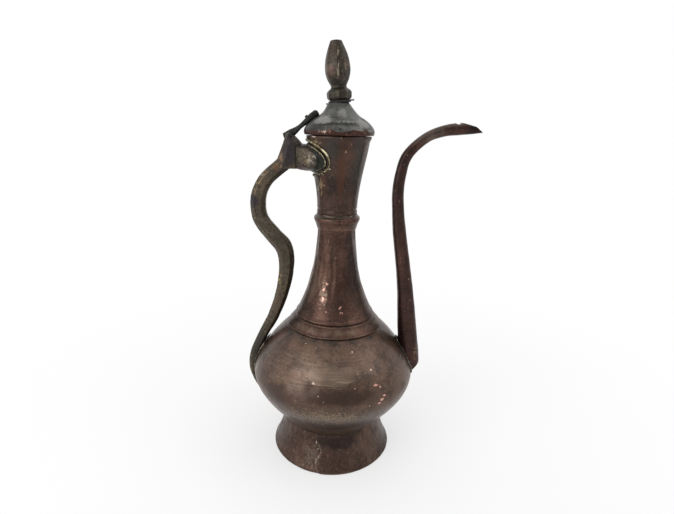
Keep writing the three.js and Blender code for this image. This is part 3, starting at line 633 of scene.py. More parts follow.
# Painted dark reflection: a dark band across the lower front of the belly, reaching round to the left.
wear_and_light_patches(belly_brown, (0.052, 0.03, 0.022), [
    ((2, -66, 79), (56, 26, 9)),
    ((6, -50, 50), (46, 30, 10)),
    ((-42, -50, 74), (26, 24, 13)),
], 0.85, **soft)
darkened = [((28, -52, 91), (9, 8, 3)), ((50, -36, 98), (14, 14, 10))]
wear_and_light_patches(belly_brown, (0.04, 0.036, 0.036), darkened, 0.5, **speckled)
# Pale olive speckles low on the front of the belly.
olive_speckle = {"scale": 760.0, "fill": 0.22, "low": 0.6, "high": 0.76}
wear_and_light_patches(belly_brown, (0.23, 0.18, 0.11), [((-2, -62, 63), (46, 34, 12))], 0.75, **olive_speckle)
# Painted shadow: darker low on the belly, where it sits down into the foot.
belly_brown.layer(
    (0.035, 0.023, 0.018), 0.7, "blotch", centre=at(0, 0, 33), size=(0.07, 0.07, 0.013), scale=20.0, fill=0.9)
wear_and_light_patches(belly_brown, (0.17, 0.09, 0.065), [((-31, -34, 106), (8, 8, 5))], 0.35, **soft)
# Painted shade: a dark band on the shoulder just under the hem of the neck.
wear_and_light_patches(belly_brown, (0.018, 0.015, 0.015), [((0, 0, shoulder_z - 1.8), (60, 60, 4.0))], 0.95, **soft)
spout_side = [((57, -20, 96), (6, 9, 9)), ((60, -18, 88), (4, 7, 7))]
wear_and_light_patches(belly_brown, (0.25, 0.215, 0.185), spout_side, 0.7, **speckled)
# Painted highlight: a pale rim on the belly beside the tail of the handle.
wear_and_light_patches(belly_brown, (0.25, 0.195, 0.16), [((-63, -14, 68), (7, 12, 26))], 0.5, **soft)
strokes = belly_brown.effect("cloudy", stretch=(0.6, 0.6, 14), scale=90.0, detail=4.0, low=0.5, high=0.62)
stroked = belly_brown.effect(
    "blotch", centre=at(2, -60, 89), size=(0.026, 0.014, 0.006), scale=60.0, fill=0.7, low=0.6, high=0.9)
belly_brown.paint((0.34, 0.26, 0.19), calculated(belly_brown.tree, "MULTIPLY", strokes, stroked), 0.7)
wear_and_light_patches(belly_brown, fresh_copper, [
    ((34.2, -53, 84.4), (5, 4, 1.7)),
    ((36.6, -52.7, 82.4), (2.2, 4, 1.5)),
    ((40.4, -52.4, 75.6), (3, 4, 1.7)),
    ((38.2, -53.6, 73.2), (3.2, 4, 1.6)),
    ((36, -55, 71), (3, 4, 1.3)),
], scale=620.0, fill=0.6)
# Pale marks on the belly: the first is a painted highlight in the dent at the front, the other three are
# small pale marks.
wear_and_light_patches(belly_brown, pale_wear_and_glint, [
    ((-13.7, -59, 87.7), (3, 4, 2.4)),
    ((14.6, -43.4, 106.5), (1.6, 2, 1.2)),
    ((29.3, -47.9, 94.3), (1.8, 2, 1.4)),
    ((19.4, -53.3, 93.7), (1.4, 2, 1.2)),
], scale=420.0, fill=0.5)
belly_brown.layer(pale_wear_and_glint, 0.8, "specks", scale=260.0, size=0.16, share=0.06)
belly_sheet = new_piece(
    "belly_bowl", turned(sheet_outline(belly_outside, sheet_wall), 256, belly_shape), belly_brown.done())
hole_z, hole_width, hole_height = equator_z + 15, 9, 13
hole = rod(
    (belly_radius, 0, hole_z), (1, 0, 0), hole_height / 2, belly_radius, flat=hole_width / hole_height)
carve(belly_sheet, hole)
fix(belly_sheet, "jug", "copper_brown", "belly")


# Neck. One raised piece of copper: a skirt that caps the shoulder of the belly, a ridge
# drawn up with the creasing hammer, and a long sweep that narrows to the ring.
neck_low, neck_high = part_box("neck")
ridge_z = shoulder_z + 10.4
ridge_radius = 31.4
neck_top_z = neck_high.z / mm
neck_top_radius = 14.9

skirt_z = shoulder_z + 0.4
neck_sweep = 73
neck_outside = traced(
    near(shoulder_radius, skirt_z, (0.9, 0), (1.15, 0.5), (0.9, 1.1), (0.1, 1.6)),
    ((36.2, 117), (33.6, 120), (ridge_radius + 0.1, ridge_z - 2.1), 8),
    near(ridge_radius, ridge_z, (0.4, -1.5), (0.65, -0.9), (0.6, -0.2), (0.2, 0.5), (-0.6, 1.2)),
    ((neck_top_radius * 0.69 + ridge_radius * 0.31, ridge_z + neck_sweep * 0.29),
     (neck_top_radius, ridge_z + neck_sweep * 0.67), (neck_top_radius, neck_top_z), 70),
)


def faceted(angle, sides, z, length, seed, depth):
    """Long hammered facets: how many noises go round, and their length in mm."""
    return depth * noise.noise(Vector((math.cos(angle) * sides, math.sin(angle) * sides, z / length + seed)))


def neck_shape(angle, r, z):
    """Long facets above the ridge and a wavy rim below."""
    rise = min(max((z - ridge_z - 3) / 20, 0), 1)
    facets = faceted(angle, 3, z, 34, 5, 0.3) + faceted(angle, 6, z, 14, 9, 0.24)
    rim = 1 - min(max((z - neck_low.z / mm) / 6, 0), 1)
    wavy = rim * 0.6 * waver(angle, 0, r, 16, 21)
    return facets * rise * 1.6 + 0.2 * waver(angle, z, r, 14, 23), wavy


neck_brown = old_copper(
    "neck_copper", (0.032, 0.017, 0.012), (0.09, 0.047, 0.034), (0.148, 0.088, 0.066), 0.36)
wear_and_light_patches(neck_brown, (0.2, 0.155, 0.11), [((0, 0, 117), (50, 50, 6))], 0.7, **soft)
# Painted shade: darker down the right side of the neck.
wear_and_light_patches(neck_brown, (0.024, 0.017, 0.016), [((14, -12, 160), (12, 16, 60))], 0.7, **soft)
# Painted highlight: lighter down the left side of the neck.
wear_and_light_patches(neck_brown, (0.17, 0.115, 0.088), [((-19, -10, 165), (10, 16, 50))], 0.5, **soft)
wear_and_light_patches(neck_brown, (0.24, 0.175, 0.135), [((-9, -19, 142), (7, 12, 22))], 0.5, **speckled)
wear_and_light_patches(neck_brown, fresh_copper, [
    ((-6.5, -19.4, 152), (5, 5, 3.4)),
    ((-8.6, -20.5, 147), (3.4, 5, 4)),
    ((-9, -22, 141), (3, 5, 5)),
    ((4.6, -25.7, 134.5), (2.6, 5, 6)),
    ((5.4, -26.8, 131), (2.6, 5, 2)),
    ((-7, -26, 131), (4, 5, 3)),
], scale=600.0, fill=0.38)
neck_brown.layer((0.26, 0.2, 0.155), 0.4, "rub")
# Painted shade in the crease just above the ridge and along the hem of the skirt.
shaded_creases = [((0, 0, ridge_z + 2), (50, 50, 1.6)), ((0, 0, skirt_z + 0.2), (50, 50, 0.8))]
wear_and_light_patches(neck_brown, (0.02, 0.015, 0.014), shaded_creases, 0.7, **soft)
neck_cone = new_piece(
    "neck_cone", turned(sheet_outline(neck_outside, sheet_wall), 200, neck_shape), neck_brown.done())
fix(neck_cone, "jug", "copper_brown", "neck")


# Ring. A turned copper sleeve with one fat bead, slipped over the joint of neck and mouth
# and sweated on.
ring_low, ring_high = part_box("neck_ring")
ring_z = ring_low.z / mm
ring_top = ring_high.z / mm
sleeve_bore = neck_top_radius + 0.3
bead_radius = (ring_high.y - ring_low.y) / 2 / mm
bead_z = ring_z + 8.6
ring_foot = ring_z + 0.9

ring_outline = traced(
    near(sleeve_bore, ring_foot, (0.15, 0), (0.4, 0.2)),
    ((sleeve_bore + 0.9, ring_foot + 2.4), (sleeve_bore + 1.7, bead_z - 3),
     (bead_radius - 0.6, bead_z - 1.7), 12),
    (*near(bead_radius, bead_z, (0.1, -0.6), (0.1, 1.2), (-0.7, 1.8)), 12),
    ((sleeve_bore + 1.5, bead_z + 2.5), (sleeve_bore + 0.9, bead_z + 2.6),
     (sleeve_bore + 0.75, ring_top - 0.4), 8),
    near(sleeve_bore, ring_top, (0.7, 0), (0.45, 0)),
    [(sleeve_bore, neck_top_z), (sleeve_bore, ring_foot)],
)


def ring_shape(angle, r, z):
    return (0.14 * waver(angle, z, r, 9, 31) + 0.08 * waver(angle, z, r, 4, 33)) if r > 16 else 0, 0


ring_copper = old_copper(
    "ring_copper", (0.03, 0.016, 0.012), (0.122, 0.062, 0.044), (0.2, 0.115, 0.084), 0.38)
ring_copper.layer((0.06, 0.065, 0.052), 0.6, scale=140.0, low=0.52, high=0.68)
wear_and_light_patches(ring_copper, (0.045, 0.048, 0.038), [((0, 0, ring_top - 1), (30, 30, 4))], 0.8, **soft)
wear_and_light_patches(ring_copper, (0.19, 0.105, 0.08), [((0, 0, ring_z + 1), (30, 30, 6))], 0.5, **soft)
wear_and_light_patches(ring_copper, (0.015, 0.01, 0.009), [((0, 0, ring_top + 0.2), (30, 30, 1.7))], 0.9, **soft)
ring_copper.layer((0.45, 0.33, 0.27), 0.6, "rub", scale=300.0)
ring_copper.layer(near_black, 0.7, "specks", scale=330.0, size=0.36, share=0.2)
ring_sleeve = new_piece("ring_sleeve", turned(ring_outline, 160, ring_shape), ring_copper.done())
fix(ring_sleeve, "jug", "copper_dark", "neck_ring")


# Mouth. A slender trumpet of copper with long hammered facets, one shallow crease above
# the ring, and a lip turned outwards for the lid to close on.
mouth_low, mouth_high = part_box("mouth_cone")
lip_z = mouth_high.z / mm
lip_radius = (mouth_high.y - mouth_low.y) / 2 / mm
mouth_radius = 23.4
mouth_foot = neck_top_radius + 0.9
crease_z = ring_top + 3.7

mouth_sweep, lip_height = 67.4, 4.2
mouth_outside = traced(
    [(neck_top_radius, mouth_low.z / mm + 0.3), (neck_top_radius + 0.4, ring_top)],
    near(mouth_foot, ring_top, (-0.1, 0.9), (0, 1.6)),
    near(mouth_foot, crease_z, (0, -1.6), (-0.15, -0.9), (-0.5, -0.1), (-0.45, 0.5), (-0.05, 1.2)),
    ((mouth_foot, ring_top + mouth_sweep * 0.32),
     (mouth_foot * 0.4 + mouth_radius * 0.6, lip_z - lip_height - mouth_sweep * 0.28),
     (mouth_radius, lip_z - lip_height), 64),
    ((mouth_radius + 0.5, lip_z - 2.6), (lip_radius - 0.2, lip_z - 2.2), (lip_radius, lip_z - 1.2), 8),
    [(lip_radius, lip_z - 0.6)],
)


def mouth_shape(angle, r, z):
    rise = min(max((z - crease_z - 3) / 12, 0), 1) * min(max((lip_z - 3 - z) / 6, 0), 1)
    facets = faceted(angle, 2.6, z, 60, 3, 0.3) + faceted(angle, 6, z, 25, 7, 0.12)
    return facets * rise * 1.5 + 0.08 * waver(angle, z, r, 9, 41), 0


mouth_copper = old_copper(
    "mouth_copper", (0.028, 0.019, 0.016), (0.072, 0.042, 0.033), (0.12, 0.073, 0.056), 0.36)
mouth_copper.layer(
    (0.1, 0.047, 0.032), 0.5, stretch=(9, 9, 1), scale=20.0, detail=5.0, low=0.5, high=0.7)
ruddy = {"scale": 90.0, "fill": 0.6, "low": 0.4, "high": 1.0}
wear_and_light_patches(mouth_copper, (0.075, 0.033, 0.019), [((2.5, -20, 240), (5, 14, 36))], 0.55, **ruddy)
# Dark grey clouds on the right and the front of the mouth.
grey_cloud = {"scale": 60.0, "fill": 0.6, "low": 0.3, "high": 1.0}
grey_places = [((14, -14, 248), (7, 14, 32)), ((-5, -22, 254), (9, 10, 18))]
wear_and_light_patches(mouth_copper, (0.035, 0.038, 0.034), grey_places, 0.6, **grey_cloud)
spattered = [((-17, -14, 259), (10, 12, 6)), ((-14, -13, 226), (6, 10, 11))]
wear_and_light_patches(mouth_copper, (0.27, 0.19, 0.11), spattered, 0.7, **speckled)
wear_and_light_patches(mouth_copper, (0.42, 0.24, 0.15), [
    ((-10.5, -14.5, 229), (5, 7, 7)),
    ((-8.5, -16.5, 222), (4, 7, 4)),
    ((5.5, -22, 254), (2.4, 5, 8)),
    ((2, -17, 226), (3.4, 5, 2.4)),
    ((-2, -24, 262), (16, 6, 2.0)),
], 0.7, scale=620.0, fill=0.2)
mouth_copper.layer((0.36, 0.24, 0.19), 0.5, "rub", high=0.57)
# Painted highlight: a pale pink gleam on the left of the lip.
wear_and_light_patches(mouth_copper, (0.6, 0.5, 0.45), [((-18, -16, 263), (6, 6, 1.2))], 0.8, scale=520.0, fill=0.5)
trumpet = new_piece(
    "mouth_trumpet", turned(sheet_outline(mouth_outside, sheet_wall), 200, mouth_shape), mouth_copper.done())
fix(trumpet, "jug", "copper_dark", "mouth_cone")


# Spout. A tapered tube of copper sheet, bent over a mandrel into a hook and filed open at
# the beak. Its foot is cut on a slope to the belly and held by a rim of hard solder.
spout_wall = 1.2
spout_foot = Vector((belly_radius - 1.2, equator_z + 3.5))
spout_bend = 161
spout_lean = 17.4
bend = Vector((spout_foot.x - spout_lean, spout_foot.y + spout_bend))
hook_reach = 59
hook_rise = 34.8
stem_places = [
    (-0.075, 0, 17.6), (0.06, 0.07, 17.6), (0.137, 0.16, 17.0), (0.304, 0.333, 15.1), (0.416, 0.451, 13.4),
    (0.522, 0.595, 12.2), (0.729, 0.905, 10.8), (0.829, 1.017, 9.8), (0.925, 1.066, 9.4), (1, 1, 8.9),
]
hook_places = [
    (0.042, 0.316, 8.6), (0.122, 0.534, 8.2), (0.319, 0.822, 7.9), (0.515, 0.954, 8.5), (0.712, 1.003, 9.3),
    (0.88, 1.01, 7.7), (1.04, 1.018, 5.6),
]
spout_stations = []
for up, lean, thick in stem_places:
    wide = thick * (1 + 0.2 * max(0, 1 - up * 3))
    spout_stations.append((spout_foot.x - spout_lean * lean, spout_foot.y + spout_bend * up, thick, wide))
spout_stations += [
    (bend.x + hook_reach * reach, bend.y + hook_rise * rise, width, max(width, 7.9))
    for reach, rise, width in hook_places
]


def flowing(stations, steps):
    """Evenly numbered places on the smooth curve through the stations, whose first two values are x and z."""
    given = np.array(stations, float)
    given = np.vstack([2 * given[0] - given[1], given, 2 * given[-1] - given[-2]])
    rows = []
    for step in range(steps + 1):
        along = step / steps * (len(stations) - 1)
        k = min(int(along), len(stations) - 2)
        t = along - k
        p0, p1, p2, p3 = given[k:k + 4]
        pairs = ((p0, p1), (p1, p2), (p2, p3))
        d0, d1, d2 = (max(math.sqrt(np.linalg.norm(b[:2] - a[:2])), 1e-6) for a, b in pairs)
        leave = ((p1 - p0) / d0 - (p2 - p0) / (d0 + d1) + (p2 - p1) / d1) * d1
        reach = ((p2 - p1) / d1 - (p3 - p1) / (d1 + d2) + (p3 - p2) / d2) * d1
        cubic = 2 * p1 - 2 * p2 + leave + reach
        square = 3 * (p2 - p1) - 2 * leave - reach
        rows.append(((cubic * t + square) * t + leave) * t + p1)
    return np.array(rows)


def swept(stations, section, steps, grow=0.0):
    """A closed bar along stations of x, z, thickness and width in mm, in the plane of the handle."""
    rows = flowing(stations, steps)
    runs = np.gradient(rows[:, :2], axis=0)
    points = []
    for (x, z, thick, wide), (dx, dz) in zip(rows, runs / np.linalg.norm(runs, axis=1)[:, None]):
        for a, b in section(thick / 2 + grow, wide / 2 + grow):
            points.append(at(x + dz * a, b, z - dx * a))
    return points, bands(len(rows), len(points) // len(rows))


def folded_oval(a, b, sides=40):
    """A tube of bent sheet: an oval that is a little flat on its sides."""
    ring = []
    for i in range(sides):
        turn = 2 * math.pi * i / sides
        flat = 1 - 0.035 * math.cos(4 * turn)
        ring.append((a * math.cos(turn) * flat, b * math.sin(turn) * flat))
    return ring


def block(place, size, turn=0.0):
    """A cutting block in mm, with the middle of its base at a place and turned about Y."""
    seat_in = Matrix.Translation(at(*place)) @ Matrix.Rotation(math.radians(turn), 4, "Y")
    rise = Matrix.Translation((0, 0, size[2] / 2 * mm)) @ Matrix.Diagonal((*(s * mm for s in size), 1))
    return plain_solid("block", bmesh.ops.create_cube, seat_in @ rise, size=1)


def core(outline, grow, sides=180):
    """The full space inside an outline that is drawn upwards, grown by a distance."""
    skin = beside(outline, -grow)
    return new_piece("core", turned([(0, skin[0][1]), *skin, (0, skin[-1][1])], sides), table_paint)


heel = Vector((belly_radius + 0.4, equator_z + 3.0))
slope, beyond_slope = 135, (134, 66, 66)
tip = Vector((bend.x + hook_reach, bend.y + hook_rise - 2.2))
beyond_tip = (60, 30, 20)
notch = Vector((bend.x + hook_reach * 0.684, bend.y + hook_rise + 3.3))

spout_copper = old_copper(
    "spout_copper", (0.019, 0.011, 0.01), (0.053, 0.027, 0.022), (0.095, 0.048, 0.038), 0.36, 0.7)
spout_copper.layer((0.11, 0.05, 0.038), 0.4, stretch=(8, 8, 1.5), scale=14.0, detail=5.0, low=0.52, high=0.7)
spout_copper.layer((0.3, 0.2, 0.16), 0.4, "rub", low=0.53, high=0.6)
# Painted highlight: lighter olive grey along the top of the hook.
hook_top_highlight = [((bend.x + 16, 0, bend.y + 32), (22, 12, 14)), ((bend.x + 34, 0, bend.y + 39), (20, 12, 5))]
wear_and_light_patches(spout_copper, (0.125, 0.105, 0.085), hook_top_highlight, 0.6, **soft)
wear_and_light_patches(spout_copper, (0.02, 0.013, 0.012), [((tip.x - 2, 0, tip.y + 2), (20, 12, 10))], 0.9, **soft)
wear_and_light_patches(spout_copper, (0.16, 0.11, 0.06), [((68, -7, 90), (4, 5, 12))], 0.7, **speckled)
# Painted highlight: a pale streak down the left of the spout's stem.
wear_and_light_patches(spout_copper, (0.1, 0.075, 0.065), [((bend.x - 6, -4, bend.y - 30), (2.4, 6, 70))], 0.5, **soft)
spout_copper.layer(pale_wear_and_glint, 0.8, "specks", scale=240.0, size=0.14, share=0.06)
spout_tube = new_piece("spout_tube", swept(spout_stations, folded_oval, 260), spout_copper.done())
spout_bore = new_piece("bore", swept(spout_stations, folded_oval, 260, -spout_wall), table_paint)
carve(
    spout_tube,
    block((heel.x, 0, heel.y), beyond_slope, slope),
    core(belly_outside, 0.1),
    block((tip.x, 0, tip.y), beyond_tip, 38),
    block((tip.x - 5.6, 0, tip.y + 4.3), beyond_tip, 15),
    block((notch.x, 0, notch.y), (3.6, 30, 4), 20),
    carve(spout_bore, block((heel.x - 1.7, 0, heel.y), beyond_slope, slope)),
)
for corner in spout_tube.data.vertices:
    uneven = noise.noise(corner.co / (11 * mm)) * 0.16 + noise.noise(corner.co / (4 * mm)) * 0.05
    corner.co += corner.normal * uneven * mm
fix(spout_tube, "jug", "copper_dark", "spout")


# Hard solder. Yellow brass solder run round the foot of the spout, along the tail of the
# handle and round the saddle, left rough and crumbly where it froze.
def recast(piece, voxel, rounds, *joined):
    """Joins closed pieces into one casting with softened edges."""
    for other in joined:
        union = piece.modifiers.new("join", "BOOLEAN")
        union.operation = "UNION"
        union.solver = "EXACT"
        union.object = other
    remesh = piece.modifiers.new("cast", "REMESH")
    remesh.mode = "VOXEL"
    remesh.voxel_size = voxel * mm
    soften = piece.modifiers.new("soften", "SMOOTH")
    soften.iterations = rounds
    soften.factor = 0.5
    apply_modifiers(piece, 180)
    for other in joined:
        bpy.data.objects.remove(other)
    return piece


def pitted(piece, *waves, lift=0.0):
    """Casting skin: waves of (size, height) in mm, moved along the surface's own normals."""
    normals = [corner.normal.copy() for corner in piece.data.vertices]
    for corner, normal in zip(piece.data.vertices, normals):
        rise = lift + sum(noise.noise(corner.co / (size * mm)) * height for size, height in waves)
        corner.co += normal * rise * mm


def crumbled(name, node, swell, finish):
    """Solder where its solid lies, frozen in drops and crumbs."""
    piece = put_in(name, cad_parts[node].data.copy())
    piece.data.materials.clear()
    piece.data.materials.append(finish)
    recast(piece, 0.3, 0)
    pitted(piece, (2.4, swell), (1.0, swell * 0.6), lift=0.15)
    return piece


def mouth_radius_at(z):
    return float(np.interp(z, [p[1] for p in mouth_outside], [p[0] for p in mouth_outside]))


def drawn(path, radius, sides=12):
    """A bar drawn along a path in mm; radius is a number, or gives one for each step."""
    points = []
    for i, here in enumerate(path):
        run = (path[min(i + 1, len(path) - 1)] - path[max(i - 1, 0)]).normalized()
        side = run.cross(Vector((0, 0, 1))).normalized()
        rise = side.cross(run)
        thick = radius(i) if callable(radius) else radius
        for s in range(sides):
            turn = 2 * math.pi * s / sides
            points.append(at(*(here + (side * math.cos(turn) + rise * math.sin(turn)) * thick)))
    return points, bands(len(path), sides, flipped=True)


flange_z = lip_z - 19.1
flange_wrap, flange_rise, flange_drop, flange_power = 67.5, 13.6, 8.2, 2.1


def on_mouth(turn, grow, out):
    """A place by its turn round the saddle's oval, grown by so many mm and off the mouth's wall by others."""
    across, up = math.cos(turn), math.sin(turn)
    eased = (abs(across) ** flange_power + abs(up) ** flange_power) ** (-1 / flange_power)
    tall = (flange_rise if up > 0 else flange_drop) + grow
    z = flange_z + tall * up * eased
    r = mouth_radius_at(z)
    away = (math.radians(flange_wrap) + grow / r) * across * eased
    return Vector((-(r + out) * math.cos(away), -(r + out) * math.sin(away), z))


run_steps = 190


def run_turn(i):
    """The turn at a step of the line of solder, which is open on the side of the boss."""
    return math.radians(-172 + 344 * i / run_steps)


def run_round(grow, out):
    """A line of solder along the flange."""
    return [on_mouth(run_turn(i), grow, out) for i in range(run_steps + 1)]


def lumpy(thick, swell, seed):
    """How thick the run of solder is: swollen above, thinner towards the front, broken below."""
    def thickness(i):
        turn = run_turn(i)
        broken = 0.7 if turn < -0.1 else 0.1
        slow = noise.noise(Vector((i / 9, seed, 4)))
        quick = noise.noise(Vector((i / 3, seed, 0)))
        return max(thick + swell * max(0, math.sin(turn * 0.8)) + 0.15 * slow + broken * quick, 0.12)
    return thickness


def crumb(i):
    """One drop of solder that froze beside the lower run."""
    turn = math.radians(-8 - 6.2 * i)
    stray = noise.noise(Vector((i * 0.73, 5, 1)))
    size = 0.7 + 0.6 * noise.noise(Vector((i * 1.31, 2, 8)))
    place = on_mouth(turn, 2.4 + 2.4 * stray, 0.5)
    return plain_solid(
        "crumb", bmesh.ops.create_icosphere, Matrix.Translation(at(*place)), subdivisions=2, radius=size * mm)


bare_solder = Finish("frozen_solder", (0.12, 0.1, 0.075), 0.5, 0.6)
bare_solder.layer((0.035, 0.03, 0.024), 0.85, scale=300.0, low=0.42, high=0.62)
bare_solder.layer((0.42, 0.37, 0.28), 0.8, scale=420.0, detail=5.0, low=0.56, high=0.66)
by_the_tail = [((-62, -4, 88), (9, 9, 12)), ((-66, -3, 68), (6, 8, 16))]
wear_and_light_patches(bare_solder, (0.5, 0.44, 0.35), by_the_tail, 0.75, scale=420.0, fill=0.5)
wear_and_light_patches(bare_solder, (0.4, 0.31, 0.17), [((66, -6, 76), (6, 8, 6))], 0.9, scale=420.0, fill=0.6)
bare_solder.layer((0.55, 0.5, 0.4), 0.8, "specks", scale=700.0, size=0.4, share=0.12)
bare_solder.raise_by(bare_solder.effect("cloudy", scale=900.0, detail=4.0), 0.12)
bare_solder = bare_solder.done()
bright_solder = Finish("bright_solder", (0.2, 0.17, 0.085), 0.42, 0.6)
bright_solder.layer((0.42, 0.37, 0.21), 0.8, scale=300.0, detail=4.0, low=0.46, high=0.66)
wear_and_light_patches(bright_solder, (0.78, 0.72, 0.47), [((-9, -20, 253.5), (6, 5, 8))], 0.95, **soft)
bright_solder.layer((0.05, 0.043, 0.03), 0.9, scale=420.0, detail=4.0, low=0.5, high=0.62)
wear_and_light_patches(bright_solder, (0.045, 0.042, 0.032), [((-20, -10, 236), (30, 30, 12))], 0.7, **speckled)
bright_solder.layer((0.62, 0.58, 0.44), 0.8, "specks", scale=480.0, size=0.42, share=0.34)
bright_solder.raise_by(bright_solder.effect("cloudy", scale=900.0, detail=4.0), 0.1)
bright_solder = bright_solder.done()
spout_fillet = crumbled("spout_fillet", "spout_solder", 0.3, bare_solder)
carve(spout_fillet, block((heel.x, 0, heel.y - 0.9), beyond_slope, slope), crease=180)
fix(spout_fillet, "jug", "solder", "spout_solder")
fix(crumbled("tail_fillet", "tail_solder", 0.35, bare_solder), "jug", "solder", "tail_solder")
outer_line = drawn(run_round(2.3, 0.5), lumpy(0.5, 0.55, 8))
saddle_fillet = new_piece("saddle_fillet", outer_line, bright_solder, 180)
inner_run = new_piece("inner_run", drawn(run_round(-0.9, 1.2), lumpy(0.38, 0, 3)), bright_solder, 180)
recast(saddle_fillet, 0.22, 1, inner_run, *[crumb(i) for i in range(22)])
pitted(saddle_fillet, (1.2, 0.12), (0.6, 0.08))
fix(saddle_fillet, "jug", "solder", "saddle_solder")


# Handle. Cast brass, an S-shaped bar with filed bevels that ends above in a forked head for
# the hinge and below in a tapered tail soldered to the belly.
pin_low, pin_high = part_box("hinge_pin")
pin = Vector(((pin_low.x + pin_high.x) / 2 - axis_x, (pin_low.z + pin_high.z) / 2)) / mm
head_height = 18.6
head_width = 12.6
head_face = pin.x + 5.6
bar_top = Vector((pin.x - 8.6, pin.y - head_height - 4.8))
bar_tail = Vector((-(belly_radius + 2.2), equator_z - 2))
bows = [
    (0.06, 8.9, 11.2), (0.14, 12.6, 11.8), (0.235, 9, 12), (0.316, -3, 12.8), (0.366, -11.5, 13.9),
    (0.425, -15.6, 12.8), (0.546, -16.9, 11.2), (0.712, -12.1, 9.2), (0.822, -5.1, 8), (0.928, 0.1, 7.6),
]
bar_width, tail_width = 11.4, 8.0


def belly_radius_at(z):
    rows = [p for p in belly_outside if p[0] > 0]
    return float(np.interp(z, [p[1] for p in rows], [p[0] for p in rows]))


bar_stations = [(bar_top.x + 5, bar_top.y + 4, 11.4, bar_width)]
for share, bow, thick in bows:
    place = bar_top.lerp(bar_tail, share)
    bar_stations.append((place.x - bow, place.y, thick, bar_width + (tail_width - bar_width) * share))
for drop, thick, apart in ((2, 6.8, 2.3), (10, 7.2, 2.6), (17, 7.6, 3.2), (23.5, 7.6, 3.5)):
    bar_stations.append((-(belly_radius_at(equator_z - drop) + apart), equator_z - drop, thick, tail_width))


def filed_bar(a, b):
    """A rectangle with wide filed bevels whose corners are eased."""
    cut = min(0.55 * a, 0.7 * b)
    corners = [(a, cut - b), (a, b - cut), (a - cut, b), (cut - a, b)]
    corners += [(-r, -w) for r, w in corners]
    ring = []
    for i, corner in enumerate(corners):
        before, after = Vector(corners[i - 1]), Vector(corners[(i + 1) % 8])
        here = Vector(corner)
        for share, other in ((0.16, before), (0.03, before), (0.03, after), (0.16, after)):
            ring.append(tuple(here.lerp(other, share)))
    return ring


ear_middle, ear_half, ear_top = 0.9, 3.9, 2.9


def head_block():
    """The head as a stack of level sections with wide bevels, narrower towards the round ears."""
    points = []
    levels = [2.9, 2.8, 2.5, 2.0, 1.3, 0.4, -0.8, -2.4, -4.0, -5.4, -5.9, -7, -9.5, -12, -15, -18, -21, -23.6]
    for rise in levels:
        round_off = ear_half * math.sqrt(max(1 - (max(rise, 0) / (ear_top + 0.05)) ** 2, 0))
        left = ear_middle - round_off + 0.36 * min(rise, 0)
        right = min(ear_middle + round_off - 0.86 * min(rise, 0), 4.4 - 1.02 * rise)
        if rise < -5.5:
            right = 5.6
        length = right - left
        outer_cut, inner_cut = min(5.8, length * 0.4), 0.8
        half = head_width / 2 - (0.5 if rise > 2.3 else 0)
        side_in = 3.2 if rise < 1 else 2.0
        outline = [
            (right, half - 0.6), (right - inner_cut, half), (left + outer_cut, half), (left, half - side_in),
            (left, side_in - half), (left + outer_cut, -half), (right - inner_cut, -half),
            (right, 0.6 - half),
        ]
        points += [at(pin.x + x, y, pin.y + rise) for x, y in outline]
    return points, bands(len(levels), 8, flipped=True)


def old_brass(name, middle, warm):
    """Cast brass gone olive brown: near black in its hollows, yellow and orange where hands rub it."""
    finish = Finish(name, middle, 0.42, 0.82)
    finish.layer((0.035, 0.032, 0.028), 0.6, scale=40.0, detail=6.0, low=0.42, high=0.72)
    finish.layer(warm, 0.6, scale=30.0, detail=6.0, low=0.46, high=0.74)
    finish.layer((0.15, 0.13, 0.095), 0.35, scale=110.0, detail=6.0, low=0.5, high=0.74)
    grime = finish.layer(near_black, 0.5, scale=330.0, detail=5.0, low=0.48, high=0.66)
    finish.roughen(grime, 0.14)
    finish.layer((0.24, 0.2, 0.14), 0.3, scale=560.0, detail=3.0, low=0.56, high=0.7)
    pits = finish.layer(near_black, 0.65, "specks", scale=420.0, size=0.42, share=0.2)
    finish.raise_by(pits, -0.08)
    finish.raise_by(grime, 0.06)
    return finish


handle_brass = old_brass("handle_brass", (0.078, 0.063, 0.046), (0.15, 0.1, 0.055))
handle_brass.layer((0.36, 0.28, 0.11), 0.75, "rub", low=0.51, high=0.545, scale=70.0)
wear_and_light_patches(handle_brass, (0.22, 0.125, 0.055), [
    ((-63, -6, 239), (13, 8, 11)),
    ((-53, -7, 246), (8, 7, 8)),
], 0.7, **soft)
wear_and_light_patches(handle_brass, (0.34, 0.29, 0.23), [((-62, -6, 234), (9, 6, 9))], 0.7, **speckled)
wear_and_light_patches(handle_brass, (0.034, 0.028, 0.032), [
    ((-37, -7, 253), (13, 9, 20)),
    ((-66, -6, 212), (7, 7, 9)),
], 0.9, **soft)
wear_and_light_patches(handle_brass, (0.15, 0.085, 0.045), [
    ((-43.5, -5, 247), (2.6, 6, 10)),
    ((-47, -5, 240), (5, 6, 6)),
], 0.7, **speckled)
wear_and_light_patches(handle_brass, (0.075, 0.085, 0.05), [((-32, -6, 248), (1.6, 4, 16))], 0.7, **speckled)
wear_and_light_patches(handle_brass, (0.04, 0.037, 0.03), [((-66, -4, 95), (16, 12, 34))], 0.7, **soft)
wear_and_light_patches(handle_brass, (0.11, 0.075, 0.055), [((-50, -5, 128), (14, 9, 14))], 0.6, **soft)
wear_and_light_patches(handle_brass, (0.052, 0.043, 0.03), [((-46, -5, 168), (14, 9, 24))], 0.5, **soft)
handle_bar = new_piece("handle_casting", swept(bar_stations, filed_bar, 240), handle_brass.done())
recast(handle_bar, 0.4, 1, new_piece("head", head_block(), table_paint))
arm_width = 5.2
carve(
    handle_bar,
    block((pin.x, 0, pin.y - 6.05), (32, arm_width + 0.9, 30)),
    rod((pin.x, 0, pin.y), (0, 1, 0), 1.9, 26),
    core(belly_outside, 0.15),
    crease=30,
)
